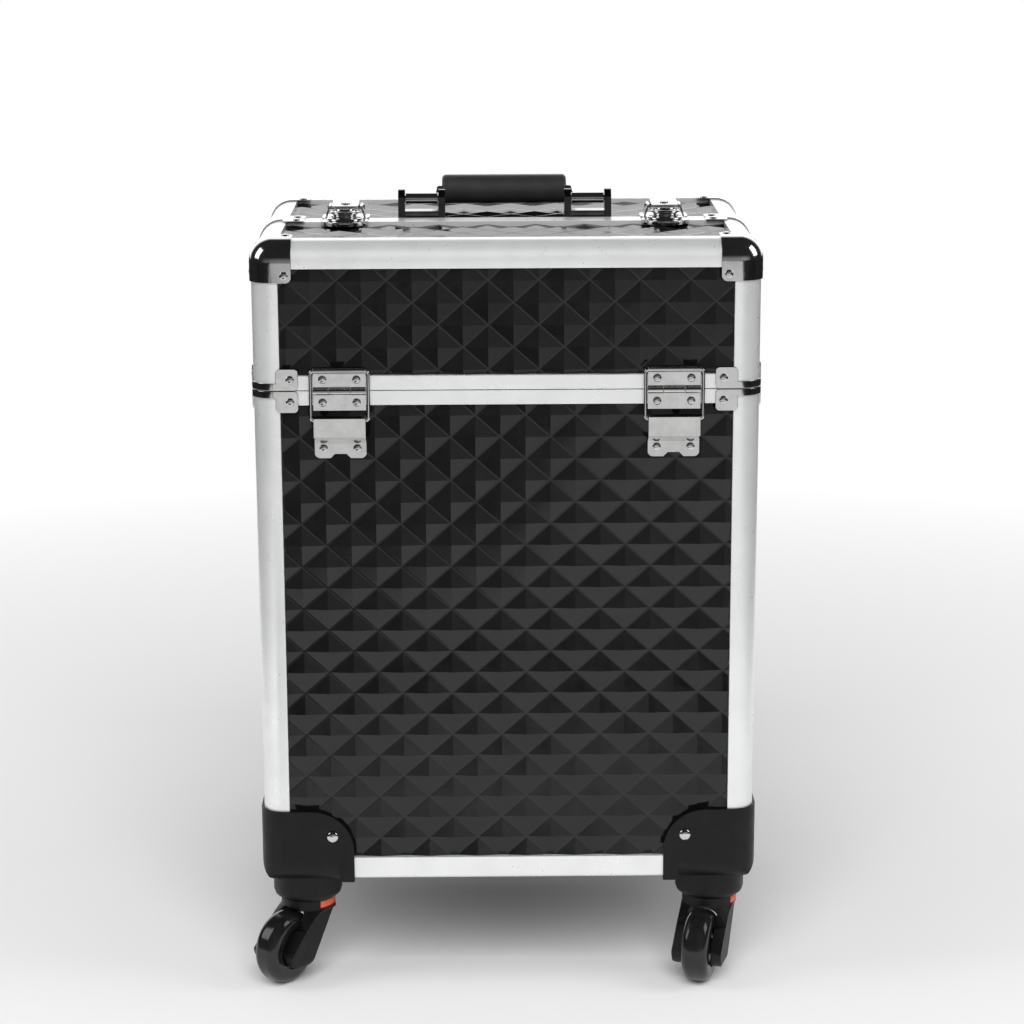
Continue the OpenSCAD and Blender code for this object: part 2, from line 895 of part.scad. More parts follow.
// Foot plate with two spread cheeks and the pin of the lever
module latch_base() {
  step = half_gap + rim_h;
  foot = cheek_x + cheek_spread;
  pin = cheek_x + cheek_t + lever_pin_r;
  difference() {
    union() {
      translate([0, 0, top_z]) linear_extrude(plate_t) base_plan();
      translate([0, 0, panel_top]) linear_extrude(panel_recess + overlap) intersection() {
        base_plan();
        translate([-latch_w, step]) square(2 * latch_w);
      }
      both_sides() along_y(cheek_front, cheek_back) translate([0, top_z]) polygon([
        [cheek_x, cheek_h], [cheek_x + cheek_t, cheek_h], [foot + cheek_t, 0], [foot, 0]
      ]);
    }
    translate([-latch_w, lever_pivot[0], top_z + lever_pivot[1]]) rotate([0, 90, 0])
      cylinder(r = lever_pin_r + pin_clear, h = 2 * latch_w);
  }
  translate([-pin, lever_pivot[0], top_z + lever_pivot[1]]) rotate([0, 90, 0])
    cylinder(r = lever_pin_r, h = 2 * pin);
}

// Plan of the latch foot behind the seam
module base_plan() {
  translate([-latch_w / 2, base_front]) round_rect([latch_w, base_back - base_front], base_round);
}

module latch_bases() {
  color("silver") for (side = [-1, 1]) translate([side * latch_x, seam_y, 0]) latch_base();
}

// Sloping lever plate with side flanges that hang on the pin, and the round lock in it
module latch_lever() {
  tip = [-lever_tip, top_z + lever_low];
  end = [lever_end, top_z + lever_high];
  down = [0, -lever_t];
  difference() {
    union() {
      along_x(lever_w) polygon([tip, end, end + down, tip + down]);
      both_sides() translate([(flange_t - lever_w) / 2, 0, 0]) along_x(flange_t) polygon([
        [flange_start, tip[1] + down[1] / 2], end + down / 2,
        [lever_end, top_z + flange_low], [lever_pivot[0] - flange_front, top_z + flange_low]
      ]);
    }
    translate([-lever_w, lever_pivot[0], top_z + lever_pivot[1]]) rotate([0, 90, 0])
      cylinder(r = lever_pin_r + pin_clear, h = 2 * lever_w);
    translate([0, lock_y, top_z]) cylinder(r = lock_r + pin_clear, h = 2 * lever_high);
  }
  translate([0, lock_y, top_z + lock_low]) difference() {
    cylinder(r = lock_r, h = lock_h);
    translate([-key_w / 2, -key_len / 2, lock_h - key_deep]) cube([key_w, key_len, key_deep + over]);
  }
}

module left_latch_lever() {
  color("lightgray") translate([-latch_x, seam_y, 0]) latch_lever();
}

module right_latch_lever() {
  color("lightgray") translate([latch_x, seam_y, 0]) latch_lever();
}

// Carry handle

// Cast bracket with two ears and the pin between them
module handle_bracket() {
  half = bracket_w / 2;
  difference() {
    union() {
      box([-half, handle_y - bracket_d / 2, panel_top],
          [half, handle_y + bracket_d / 2, panel_top + bracket_base]);
      both_sides() translate([-half + ear_t / 2, 0, 0]) along_x(ear_t) {
        translate([handle_y, handle_z]) circle(ear_r);
        polygon([
          [handle_y - ear_r - ear_lean, panel_top], [handle_y + ear_r, panel_top],
          [handle_y + ear_r, handle_z], [handle_y - ear_r, handle_z]
        ]);
      }
    }
    translate([-half - over, handle_y, handle_z]) rotate([0, 90, 0])
      cylinder(r = handle_pin_r + pin_clear, h = bracket_w + 2 * over);
  }
  translate([-half, handle_y, handle_z]) rotate([0, 90, 0])
    cylinder(r = handle_pin_r, h = bracket_w);
}

module handle_brackets() {
  color("silver") both_sides() translate([-bracket_x, 0, 0]) handle_bracket();
}

// Wire bail that lies back from its two barrels
module handle_bail() {
  run = arm_in - bail_bend;
  color("silver") translate([0, handle_y, handle_z]) {
    difference() {
      union() {
        both_sides() {
          translate([-barrel_out, 0, 0]) rotate([0, 90, 0])
            cylinder(r = barrel_r, h = barrel_out - barrel_in);
          translate([-arm_in, 0, 0]) rotate([-90, 0, 0])
            cylinder(r = bail_r, h = bail_len - bail_bend);
        }
        translate([-run, bail_len, 0]) rotate([0, 90, 0]) cylinder(r = bail_r, h = 2 * run);
        translate([run, bail_len - bail_bend, 0]) wire_bend(bail_bend, bail_r, 0);
        translate([-run, bail_len - bail_bend, 0]) wire_bend(bail_bend, bail_r, 90);
      }
      both_sides() translate([-barrel_out - over, 0, 0]) rotate([0, 90, 0])
        cylinder(r = handle_pin_r + pin_clear, h = barrel_out - barrel_in + 2 * over);
    }
  }
}

module handle_grip() {
  half = grip_len / 2;
  color("black") translate([0, handle_y + bail_len, handle_z]) rotate([0, 90, 0])
    rotate_extrude() difference() {
      union() {
        translate([0, -half]) square([grip_r - grip_round, grip_len]);
        translate([0, -half + grip_round]) square([grip_r, grip_len - 2 * grip_round]);
        for (side = [-1, 1])
          translate([grip_r - grip_round, side * (half - grip_round)]) circle(grip_round);
      }
      translate([-grip_r, -grip_len]) square([grip_r + bail_r + pin_clear, 2 * grip_len]);
    }
}

// Trays and their arms, drawn at the front

// Draws the children from the pivot of the tray in its flap
module at_tray_pivot() {
  translate([0, axis_y + tray_pivot[0], seam_z + tray_pivot[1]]) children();
}

// Tray with two cross walls, holes for the flap pins and for the pins of the arms
module tray() {
  color("dimgray") at_tray_pivot() difference() {
    box([-tray_half, -tray_in[0], -tray_in[1]],
        [tray_half, tray_d - tray_in[0], tray_h - tray_in[1]]);
    tray_bay(-divider_x, divider_x);
    both_sides() {
      tray_bay(-tray_half + tray_wall, -divider_x - tray_wall);
      for (hole = [[0, 0], arm_offset])
        translate([-tray_half - over, hole[0], hole[1]]) rotate([0, 90, 0])
          cylinder(r = tray_pin_r + pin_clear, h = tray_wall + 2 * over);
    }
  }
}

// Hollow of one bay of a tray from x0 to x1
module tray_bay(x0, x1) {
  box([x0, tray_wall - tray_in[0], tray_wall - tray_in[1]],
      [x1, tray_d - tray_in[0] - tray_wall, tray_h]);
}

// Arm from the rim of the base to the tray, with the pin that carries the tray
module tray_arm() {
  from = arm_offset;
  to = arm_offset + tray_pivot;
  translate([0, axis_y, seam_z]) {
    translate([-arm_x - arm_t / 2, 0, 0]) along_x(arm_t) difference() {
      link2d(from, arm_r, to, arm_r);
      translate(from) circle(tray_pin_r + pin_clear);
    }
    translate([-arm_x - overlap, to[0], to[1]]) rotate([0, 90, 0])
      cylinder(r = tray_pin_r, h = arm_gap + tray_wall);
  }
}

module front_tray() { tray(); }
module rear_tray() { at_rear() tray(); }
module front_tray_arms() { color("silver") both_sides() tray_arm(); }
module rear_tray_arms() { color("silver") at_rear() both_sides() tray_arm(); }

// Pins on the rim rails on which the arms turn
module tray_arm_pins() {
  wall = hw - rail_t;
  color("silver") both_ends() both_sides()
    translate([-wall, axis_y + arm_offset[0], seam_z + arm_offset[1]]) rotate([0, 90, 0])
      cylinder(r = tray_pin_r, h = wall - arm_x + pin_proud);
}

// Casters

// Wall shell round a bottom corner with the neck of the swivel below it
module caster_housing() {
  translate([-hw, -hd, ground_clear]) difference() {
    union() {
      difference() {
        translate([0, 0, -housing_t]) linear_extrude(housing_h + housing_t)
          round_square(housing_len, rail_r, housing_t);
        difference() {
          linear_extrude(housing_h + over) round_square(housing_len + over, rail_r);
          sole_cuts(sole_r - housing_t, sole_len + housing_t);
        }
        sole_cuts(sole_r, sole_len);
        housing_trim();
        mirror([1, -1, 0]) housing_trim();
      }
      translate([caster_in, caster_in, 0]) neck();
      translate([caster_in, caster_in, -overlap]) cylinder(r = boss_r, h = boss_h);
    }
    translate([caster_in, caster_in, -neck_low[1] - over])
      cylinder(r = kingpin_r + pin_clear, h = neck_low[1] + boss_h + 2 * over);
    for (turn = [0, 1]) housing_screw_place(turn) translate([0, 0, -3 * housing_t])
      cylinder(r = screw_r / 2, h = 4 * housing_t);
  }
}

// Region outside the rounded edges of the sole along both walls, r being the radius of the rounding
module sole_cuts(r, length) {
  sole_cut(r, length);
  mirror([1, -1, 0]) sole_cut(r, length);
}

module sole_cut(r, length) {
  low = [-housing_t - over, -housing_t - over];
  middle = [sole_r - housing_t, sole_up - housing_t];
  along_y(low[1], length) difference() {
    translate(low) square(middle - low);
    translate(middle) circle(r);
  }
}

// Round neck below a housing with a rounded lower edge
module neck() {
  mirror([0, 0, 1]) rotate_extrude() polygon([
    [0, housing_t / 2], [neck_edge[0], housing_t / 2], neck_edge, neck_mid, neck_low, [0, neck_low[1]]
  ]);
}

// Cuts the upper inner corner of the front wall to a round
module housing_trim() {
  corner_trim([housing_len, housing_h], housing_round, -housing_t - over, over);
}

// Draws the children on the front wall, or on the side wall for turn 1, facing outwards
module housing_screw_place(turn) {
  if (turn == 0)
    translate([screw_at[0], -housing_t, screw_at[1]]) rotate([90, 0, 0]) children();
  else
    translate([-housing_t, screw_at[0], screw_at[1]]) rotate([0, -90, 0]) children();
}

module housing_screws() {
  shank = housing_t + panel_recess;
  translate([-hw, -hd, ground_clear]) for (turn = [0, 1]) housing_screw_place(turn) {
    rivet(screw_r, screw_h);
    translate([0, 0, -shank]) cylinder(r = screw_r / 2 - pin_clear, h = shank + overlap);
  }
}

module caster_housings() {
  color("black") both_ends() both_sides() caster_housing();
}

// Swivel pins with a head below the fork plate
module kingpins() {
  head = fork_top - fork_plate - head_gap;
  color("silver") both_ends() both_sides()
    translate([-hw + caster_in, -hd + caster_in, head - kingpin_head_h]) {
      cylinder(r = kingpin_head_r, h = kingpin_head_h);
      cylinder(r = kingpin_r, h = ground_clear + boss_h - head + kingpin_head_h);
    }
}

// Places a caster at a corner and swivels it
module at_caster(side, end, swivel) {
  translate([side * (hw - caster_in), end * (hd - caster_in), 0]) rotate([0, 0, swivel]) children();
}

// Outline of the fork in Y and Z from its round neck down to the hub round the axle
module fork_side() {
  axle = [-trail, wheel_r];
  neck = fork_top - fork_neck;
  translate(axle) circle(fork_hub_r);
  polygon([
    [-fork_r, fork_top], [-fork_r, neck], fork_waist, axle,
    axle + fork_hub_r * [cos(hub_turn), sin(hub_turn)], fork_back, [fork_r, neck], [fork_r, fork_top]
  ]);
}

// Outline of the fork in X and Z: two rounded legs, a little narrower than the neck
module fork_front() {
  neck = fork_top - fork_neck;
  translate([-fork_out, wheel_r - fork_hub_r]) round_rect([2 * fork_out, fork_top], leg_round);
  polygon([
    [-fork_r, fork_top], [fork_r, fork_top], [fork_r, neck], [fork_out, neck - fork_neck],
    [-fork_out, neck - fork_neck], [-fork_r, neck]
  ]);
}

// Round neck of the fork that spreads downwards
module fork_spread() {
  low = fork_top - spread_start;
  cylinder(r1 = fork_r + spread * low, r2 = fork_r, h = low);
  cylinder(r = fork_r, h = fork_top);
}

// Section of a tyre or of the slot round it, in radius and width, turned round the axle
module round_slab(r, half, edge) {
  rotate([0, 90, 0]) rotate_extrude($fn = 64) {
    translate([0, -half]) square([r - edge, 2 * half]);
    translate([0, edge - half]) square([r, 2 * (half - edge)]);
    for (side = [-1, 1]) translate([r - edge, side * (half - edge)]) circle(edge);
  }
}

// Fork with an arch over the wheel, and the axle across its legs
module fork() {
  color("black") difference() {
    intersection() {
      along_x(2 * fork_r) fork_side();
      along_y(-trail - wheel_r, fork_r + over) fork_front();
      fork_spread();
    }
    translate([0, -trail, wheel_r]) round_slab(wheel_r + slot_gap, fork_in, slot_round);
    translate([0, 0, -over]) cylinder(r = kingpin_r + pin_clear, h = fork_top + 2 * over);
    cylinder(r = kingpin_head_r + head_room, h = fork_top - fork_plate);
    translate([-2 * fork_out, -trail, wheel_r]) rotate([0, 90, 0])
      cylinder(r = axle_r + pin_clear, h = 4 * fork_out);
  }
  color("silver") translate([-fork_out, -trail, wheel_r]) rotate([0, 90, 0])
    cylinder(r = axle_r, h = 2 * fork_out);
}

// Wheel with a dished ring round its hub on each side
module wheel() {
  half = wheel_w / 2;
  color("black") translate([0, -trail, wheel_r]) difference() {
    round_slab(wheel_r, half, tread_round);
    rotate([0, 90, 0]) {
      cylinder(r = axle_r + pin_clear, h = 2 * wheel_w, center = true);
      for (side = [-1, 1]) translate([0, 0, side * half]) difference() {
        cylinder(r = hub_r, h = 2 * hub_dish, center = true);
        cylinder(r = hub_core_r, h = 4 * hub_dish, center = true);
      }
    }
  }
}

module fork_front_left() { at_caster(-1, -1, swivel_front_left) fork(); }
module fork_front_right() { at_caster(1, -1, swivel_front_right) fork(); }
module fork_rear_left() { at_caster(-1, 1, swivel_front_right + rear_turn) fork(); }
module fork_rear_right() { at_caster(1, 1, swivel_front_left + rear_turn) fork(); }
module wheel_front_left() { at_caster(-1, -1, swivel_front_left) wheel(); }
module wheel_front_right() { at_caster(1, -1, swivel_front_right) wheel(); }
module wheel_rear_left() { at_caster(-1, 1, swivel_front_right + rear_turn) wheel(); }
module wheel_rear_right() { at_caster(1, 1, swivel_front_left + rear_turn) wheel(); }

base_posts();
base_bottom_rails();
base_rim_rails();
base_front_panel();
base_rear_panel();
base_side_panels();
base_floor();
base_lining();
base_clips();
base_fasteners();
hinge_lower_leaves();
hinge_tongues();
hinge_pins();
caster_housings();
kingpins();
tray_arm_pins();
front_flap_posts();
front_flap_rails();
front_flap_front_panel();
front_flap_top_panel();
front_flap_side_panels();
front_flap_corner_caps();
front_flap_clips();
front_flap_rivets();
front_hinge_leaves();
latch_catches();
front_flap_lining();
front_tray_pivots();
rear_flap_posts();
rear_flap_rails();
rear_flap_rear_panel();
rear_flap_top_panel();
rear_flap_side_panels();
rear_flap_corner_caps();
rear_flap_clips();
rear_flap_rivets();
rear_hinge_leaves();
latch_bases();
rear_flap_lining();
rear_tray_pivots();
handle_brackets();
front_stays();
rear_stays();
handle_bail();
handle_grip();
left_latch_lever();
right_latch_lever();
fork_front_left();
fork_front_right();
fork_rear_left();
fork_rear_right();
wheel_front_left();
wheel_front_right();
wheel_rear_left();
wheel_rear_right();
front_tray();
rear_tray();
front_tray_arms();
rear_tray_arms();
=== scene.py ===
"""Looks of a rolling makeup case: embossed panels, rails, chrome hardware, casters and studio.

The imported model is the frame. Lengths are metres in its axes: X to the right, Y to the rear and
Z up from the floor. Sizes written as a number of MM are millimetres.
"""

import json
import logging
import math
from dataclasses import dataclass
from enum import Enum

import bmesh
import bpy
from mathutils import Matrix, Vector

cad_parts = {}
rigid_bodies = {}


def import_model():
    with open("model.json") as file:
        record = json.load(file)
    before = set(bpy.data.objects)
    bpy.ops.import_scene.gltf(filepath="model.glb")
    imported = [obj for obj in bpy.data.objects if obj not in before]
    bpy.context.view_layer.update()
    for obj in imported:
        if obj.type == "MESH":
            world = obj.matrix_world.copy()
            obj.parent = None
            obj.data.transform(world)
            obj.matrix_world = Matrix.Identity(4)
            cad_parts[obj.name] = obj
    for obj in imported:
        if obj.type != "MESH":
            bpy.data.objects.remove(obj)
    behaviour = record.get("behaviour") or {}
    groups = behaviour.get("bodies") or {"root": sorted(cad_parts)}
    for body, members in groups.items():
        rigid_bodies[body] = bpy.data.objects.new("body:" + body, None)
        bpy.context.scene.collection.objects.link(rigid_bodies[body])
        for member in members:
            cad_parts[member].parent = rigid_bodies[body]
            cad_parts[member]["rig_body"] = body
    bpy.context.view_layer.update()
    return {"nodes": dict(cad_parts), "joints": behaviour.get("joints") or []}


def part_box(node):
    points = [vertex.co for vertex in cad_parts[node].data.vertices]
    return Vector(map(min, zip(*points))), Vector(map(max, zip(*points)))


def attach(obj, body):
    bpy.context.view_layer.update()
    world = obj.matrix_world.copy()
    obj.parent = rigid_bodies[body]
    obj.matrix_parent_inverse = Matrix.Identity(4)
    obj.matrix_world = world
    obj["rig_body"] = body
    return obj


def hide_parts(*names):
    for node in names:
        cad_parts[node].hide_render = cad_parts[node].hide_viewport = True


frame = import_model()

MM = 0.001
LOG = logging.getLogger("makeup_case")
Pair = tuple[float, float]
Triple = tuple[float, float, float]
Colour = Triple
Socket = bpy.types.NodeSocket
AXES = range(3)
UP_AXIS = 2


class NodeSheet:
    """Short calls for laying nodes in one tree.

    Attributes:
        tree: The tree that the nodes go into.
    """

    # Levels of a noise pattern between which a result runs from low to high
    START, END = 0.3, 0.7

    def __init__(self, tree: bpy.types.NodeTree) -> None:
        """Keeps the tree that the nodes go into."""
        self.tree = tree

    def add(self, kind: str, inputs: dict | None = None, **settings: object) -> bpy.types.Node:
        """Adds a node.

        Args:
            kind: Blender's name of the node type.
            inputs: Values or output sockets for the inputs, by socket name or number.
            settings: Properties of the node.

        Returns:
            The new node.
        """
        node = self.tree.nodes.new(kind)
        for name, value in settings.items():
            setattr(node, name, value)
        for key, value in (inputs or {}).items():
            if isinstance(value, Socket):
                self.tree.links.new(value, node.inputs[key])
            else:
                node.inputs[key].default_value = value
        return node

    def math(self, operation: str, *values: object) -> Socket:
        """Adds a Math node.

        Args:
            operation: Name of the operation.
            values: Numbers or sockets, in the order of the inputs.

        Returns:
            The socket with the result.
        """
        node = self.add("ShaderNodeMath", dict(enumerate(values)), operation=operation)
        return node.outputs["Value"]

    def band(self, level: Socket, low: float | Socket, high: float | Socket,
             start: float = START, end: float = END) -> Socket:
        """Stretches a level between two limits.

        Args:
            level: The level to stretch.
            low: Result at the start level.
            high: Result at the end level.
            start: Level that gives low.
            end: Level that gives high.

        Returns:
            The socket with the result.
        """
        values = {"Value": level, "From Min": start, "From Max": end, "To Min": low, "To Max": high}
        return self.add("ShaderNodeMapRange", values).outputs["Result"]


class ShaderSheet(NodeSheet):
    """Nodes that finishes share.

    Attributes:
        place: Object coordinates in millimetres, which the patterns read.
    """

    def __init__(self, tree: bpy.types.NodeTree) -> None:
        """Clears the tree and lays the coordinates.

        Args:
            tree: The tree that the nodes go into.
        """
        super().__init__(tree)
        tree.nodes.clear()
        place = self.add("ShaderNodeTexCoord").outputs["Object"]
        scale = {0: place, "Scale": 1 / MM}
        self.place = self.add("ShaderNodeVectorMath", scale, operation="SCALE").outputs["Vector"]

    def noise(self, size: float, detail: float = 3.0,
              stretch: Triple = (1.0, 1.0, 1.0)) -> Socket:
        """Adds a noise pattern.

        Args:
            size: Size of its blotches in millimetres.
            detail: Number of finer layers.
            stretch: Times that the blotches are longer along each axis.

        Returns:
            The socket with the level from 0 to 1.
        """
        longer = tuple(1 / value for value in stretch)
        place = self.add("ShaderNodeMapping", {"Vector": self.place, "Scale": longer})
        values = {"Vector": place.outputs["Vector"], "Scale": 1 / size, "Detail": detail}
        return self.add("ShaderNodeTexNoise", values).outputs["Fac"]

    def cells(self, size: float) -> Socket:
        """Adds a pattern of small cells, of a size in millimetres, and returns the distance inside each."""
        values = {"Vector": self.place, "Scale": 1 / size}
        return self.add("ShaderNodeTexVoronoi", values).outputs["Distance"]

    def tint(self, level: Socket, dark: Colour, light: Colour) -> Socket:
        """Adds a ramp from one colour to another.

        Args:
            level: The level that picks the colour.
            dark: Colour of the low levels.
            light: Colour of the high levels.

        Returns:
            The socket with the colour.
        """
        ramp = self.add("ShaderNodeValToRGB", {"Fac": level})
        low, high = ramp.color_ramp.elements
        low.position, low.color = self.START, (*dark, 1)
        high.position, high.color = self.END, (*light, 1)
        return ramp.outputs["Color"]


@dataclass(frozen=True)
class Finish:
    """Surface finish with mottled colour, uneven gloss and a fine relief.

    Attributes:
        name: Name of the material.
        dark: Darker shade.
        light: Lighter shade.
        rough: Least and greatest roughness.
        metallic: Share of metal.
        ior: Index of refraction.
        mottle: Size of the colour blotches in millimetres.
        grain: Size of the relief in millimetres.
        depth: Height of the relief in millimetres.
        stretch: Times that the relief is longer along each axis.
    """

    name: str
    dark: Colour
    light: Colour
    rough: Pair
    metallic: float = 0.0
    ior: float = 1.5
    mottle: float = 14.0
    grain: float = 0.5
    depth: float = 0.01
    stretch: Triple = (1.0, 1.0, 1.0)

    # Times that the blotches of the gloss are finer than those of the colour
    GLOSS_FINER = 3

    def material(self) -> bpy.types.Material:
        """Makes the material the first time that it is asked for.

        Returns:
            The material.
        """
        made = bpy.data.materials.get(self.name)
        if made is None:
            made = bpy.data.materials.new(self.name)
            made.use_nodes = True
            sheet = ShaderSheet(made.node_tree)
            shader = sheet.add("ShaderNodeBsdfPrincipled")
            self.lay(sheet, shader)
            sheet.add("ShaderNodeOutputMaterial", {"Surface": shader.outputs["BSDF"]})
        return made

    def lay(self, sheet: ShaderSheet, shader: bpy.types.Node) -> None:
        """Lays the nodes that feed the shader.

        Args:
            sheet: Where the nodes go.
            shader: The Principled node.
        """
        mottle = sheet.noise(self.mottle)
        relief = self.relief(sheet)
        bump = sheet.add("ShaderNodeBump", {"Height": relief, "Distance": self.depth * MM})
        shader.inputs["Metallic"].default_value = self.metallic
        shader.inputs["IOR"].default_value = self.ior
        colour = sheet.tint(mottle, self.dark, self.light)
        sheet.tree.links.new(colour, shader.inputs["Base Color"])
        gloss = sheet.band(sheet.noise(self.mottle / self.GLOSS_FINER), *self.rough)
        sheet.tree.links.new(gloss, shader.inputs["Roughness"])
        sheet.tree.links.new(bump.outputs["Normal"], shader.inputs["Normal"])

    def relief(self, sheet: ShaderSheet) -> Socket:
        """Lays the pattern of the fine relief and returns its height."""
        return sheet.noise(self.grain, stretch=self.stretch)


class GrainedPlastic(Finish):
    """Moulded plastic with the pebbled grain of its tool."""

    # Times that the second grain is finer than the pebbles
    GRAIN_FINER = 2

    def relief(self, sheet: ShaderSheet) -> Socket:
        """Lays small pebbles under a finer grain and returns the height."""
        pebbles = sheet.cells(self.grain)
        return sheet.math("ADD", pebbles, sheet.noise(self.grain / self.GRAIN_FINER))


class Felt(Finish):
    """Soft nap with fibres and a little sheen."""

    # Sheen of the nap, and the fibres, which are longer than wide by FIBRE_LENGTH
    SHEEN = 0.35
    SHEEN_ROUGH = 0.6
    FIBRE_DETAIL = 5.0
    FIBRE_LENGTH = 6.0

    def lay(self, sheet: ShaderSheet, shader: bpy.types.Node) -> None:
        """Lays the nap and sets the sheen.

        Args:
            sheet: Where the nodes go.
            shader: The Principled node.
        """
        super().lay(sheet, shader)
        shader.inputs["Sheen Weight"].default_value = self.SHEEN
        shader.inputs["Sheen Roughness"].default_value = self.SHEEN_ROUGH

    def relief(self, sheet: ShaderSheet) -> Socket:
        """Lays fibres in two directions.

        Args:
            sheet: Where the nodes go.

        Returns:
            The socket with the height.
        """
        long = self.FIBRE_LENGTH
        across = sheet.noise(self.grain, self.FIBRE_DETAIL, (long, 1.0, 1.0))
        along = sheet.noise(self.grain, self.FIBRE_DETAIL, (1.0, long, long))
        return sheet.math("ADD", across, along)


ALUMINIUM = Finish("satin_aluminium", (0.80, 0.805, 0.81), (0.86, 0.865, 0.87), (0.27, 0.34),
                   metallic=0.55, mottle=30, grain=2.0, depth=0.005)
CHROME = Finish("chromed_steel", (0.60, 0.60, 0.595), (0.68, 0.68, 0.675), (0.09, 0.15),
                metallic=1.0, mottle=9, grain=3.0, depth=0.006)
# Chrome painted dark: painted shade standing in for the dark room that the brackets' chrome mirrors
CHROME_PAINTED_DARK = Finish("chrome_painted_dark", (0.10, 0.10, 0.10), (0.17, 0.17, 0.17), (0.10, 0.16),
                metallic=1.0, mottle=9, grain=3.0, depth=0.006)
STEEL = Finish("zinc_plated_steel", (0.46, 0.46, 0.45), (0.56, 0.56, 0.56), (0.26, 0.36),
               metallic=1.0, mottle=4, grain=0.4, depth=0.004)
PANEL = Finish("gloss_black_panel", (0.0035, 0.0035, 0.0037), (0.0065, 0.0065, 0.0068), (0.08, 0.14),
               ior=1.48, mottle=24, grain=5.0, depth=0.012)
PLATE = GrainedPlastic("black_base_plate", (0.008, 0.008, 0.008), (0.013, 0.013, 0.013), (0.45, 0.55),
                       mottle=20, grain=1.2, depth=0.04)
HOUSING = GrainedPlastic("moulded_black_plastic", (0.003, 0.003, 0.003), (0.005, 0.005, 0.005),
                         (0.42, 0.52), ior=1.36, mottle=18, grain=0.7, depth=0.03)
TREAD = Finish("polished_tread", (0.006, 0.006, 0.006), (0.014, 0.014, 0.014), (0.10, 0.18),
               mottle=10, grain=1.2, depth=0.008)
GRIP = Finish("satin_black_grip", (0.021, 0.021, 0.021), (0.029, 0.029, 0.029), (0.36, 0.44),
              mottle=12, grain=0.5, depth=0.02)
NAP = Felt("black_felt", (0.010, 0.010, 0.011), (0.022, 0.022, 0.024), (0.85, 0.95),
           mottle=8, grain=0.6, depth=0.15)
TRAY = GrainedPlastic("dark_tray_plastic", (0.028, 0.028, 0.030), (0.038, 0.038, 0.040), (0.40, 0.50),
                      mottle=22, grain=1.0, depth=0.03)
MARKER = GrainedPlastic("orange_marker_plastic", (0.66, 0.085, 0.035), (0.78, 0.115, 0.05), (0.38, 0.48),
                        mottle=3, grain=0.6, depth=0.02)


class Slot(Enum):
    """Material slots of the record."""

    PANEL = "panel"
    RAIL = "rail"
    CHROME = "chrome"
    STEEL = "steel"
    CASTER = "caster_plastic"
    WHEEL = "wheel"
    GRIP = "grip"
    LINING = "lining"
    TRAY = "tray"


class GeometrySheet(NodeSheet):
    """Nodes that the geometry trees share."""

    # Distance within which corners of a shape of radius 1 are joined
    WELD = 1e-4

    def draw_up(self, base: Socket, steps: list[tuple[float | Socket, float | Socket]]) -> Socket:
        """Raises the face of a flat shape step by step and draws it in.

        Args:
            base: The flat shape, of radius 1.
            steps: For each step how far the face rises and the share of its width that stays.

        Returns:
            The socket with the raised shape.
        """
        up = self.add("ShaderNodeCombineXYZ", {"Z": 1.0}).outputs["Vector"]
        shape, top = base, None
        for rise, share in steps:
            values = {"Mesh": shape, "Offset": up, "Offset Scale": rise}
            if top is not None:
                values["Selection"] = top
            raised = self.add("GeometryNodeExtrudeMesh", values, mode="FACES")
            top = raised.outputs["Top"]
            drawn = self.add("GeometryNodeScaleElements", {
                "Geometry": raised.outputs["Mesh"], "Selection": top, "Scale": share}, domain="FACE")
            shape = drawn.outputs["Geometry"]
        return shape

    def weld(self, geometry: Socket, distance: float = WELD) -> Socket:
        """Joins the corners of a shape that lie within a distance and returns the result."""
        values = {"Geometry": geometry, "Distance": distance}
        return self.add("GeometryNodeMergeByDistance", values).outputs["Geometry"]


class GeometryTree:
    """A Geometry Nodes tree with named inputs that is baked to a plain mesh.

    Attributes:
        tree: The tree.
        sheet: Where its nodes go.
        entry: The node with its inputs.
        exit: The node that takes the result.
    """

    def __init__(self, name: str) -> None:
        """Makes the tree with its way in and its way out.

        Args:
            name: Name of the tree.
        """
        self.tree = bpy.data.node_groups.new(name, "GeometryNodeTree")
        self.sheet = GeometrySheet(self.tree)
        for way in ("INPUT", "OUTPUT"):
            self.tree.interface.new_socket("Geometry", in_out=way, socket_type="NodeSocketGeometry")
        self.entry = self.sheet.add("NodeGroupInput")
        self.exit = self.sheet.add("NodeGroupOutput")

    def size(self, name: str, kind: str = "NodeSocketFloat") -> Socket:
        """Adds a named input of the kind given and returns its socket inside the tree."""
        self.tree.interface.new_socket(name, in_out="INPUT", socket_type=kind)
        return self.entry.outputs[name]

    def close(self, geometry: Socket) -> None:
        """Realizes the instances, sets the material and leads the result out of the tree.

        Args:
            geometry: The geometry that the tree has made.
        """
        plain = self.sheet.add("GeometryNodeRealizeInstances", {"Geometry": geometry})
        material = self.size("Material", "NodeSocketMaterial")
        dressed = self.sheet.add("GeometryNodeSetMaterial",
                                 {"Geometry": plain.outputs["Geometry"], "Material": material})
        self.tree.links.new(dressed.outputs["Geometry"], self.exit.inputs["Geometry"])

    def bake(self, start: bpy.types.Mesh, values: dict) -> bpy.types.Mesh:
        """Runs the tree.

        Args:
            start: Mesh that enters the tree.
            values: Values of the inputs by name.

        Returns:
            The result as a plain mesh.
        """
        carrier = bpy.data.objects.new(start.name, start)
        bpy.context.scene.collection.objects.link(carrier)
        modifier = carrier.modifiers.new("tree", "NODES")
        modifier.node_group = self.tree
        for item in self.tree.interface.items_tree:
            if item.name in values:
                modifier[item.identifier] = values[item.name]
        grown = carrier.evaluated_get(bpy.context.evaluated_depsgraph_get())
        mesh = bpy.data.meshes.new_from_object(grown)
        bpy.data.objects.remove(carrier)
        return mesh


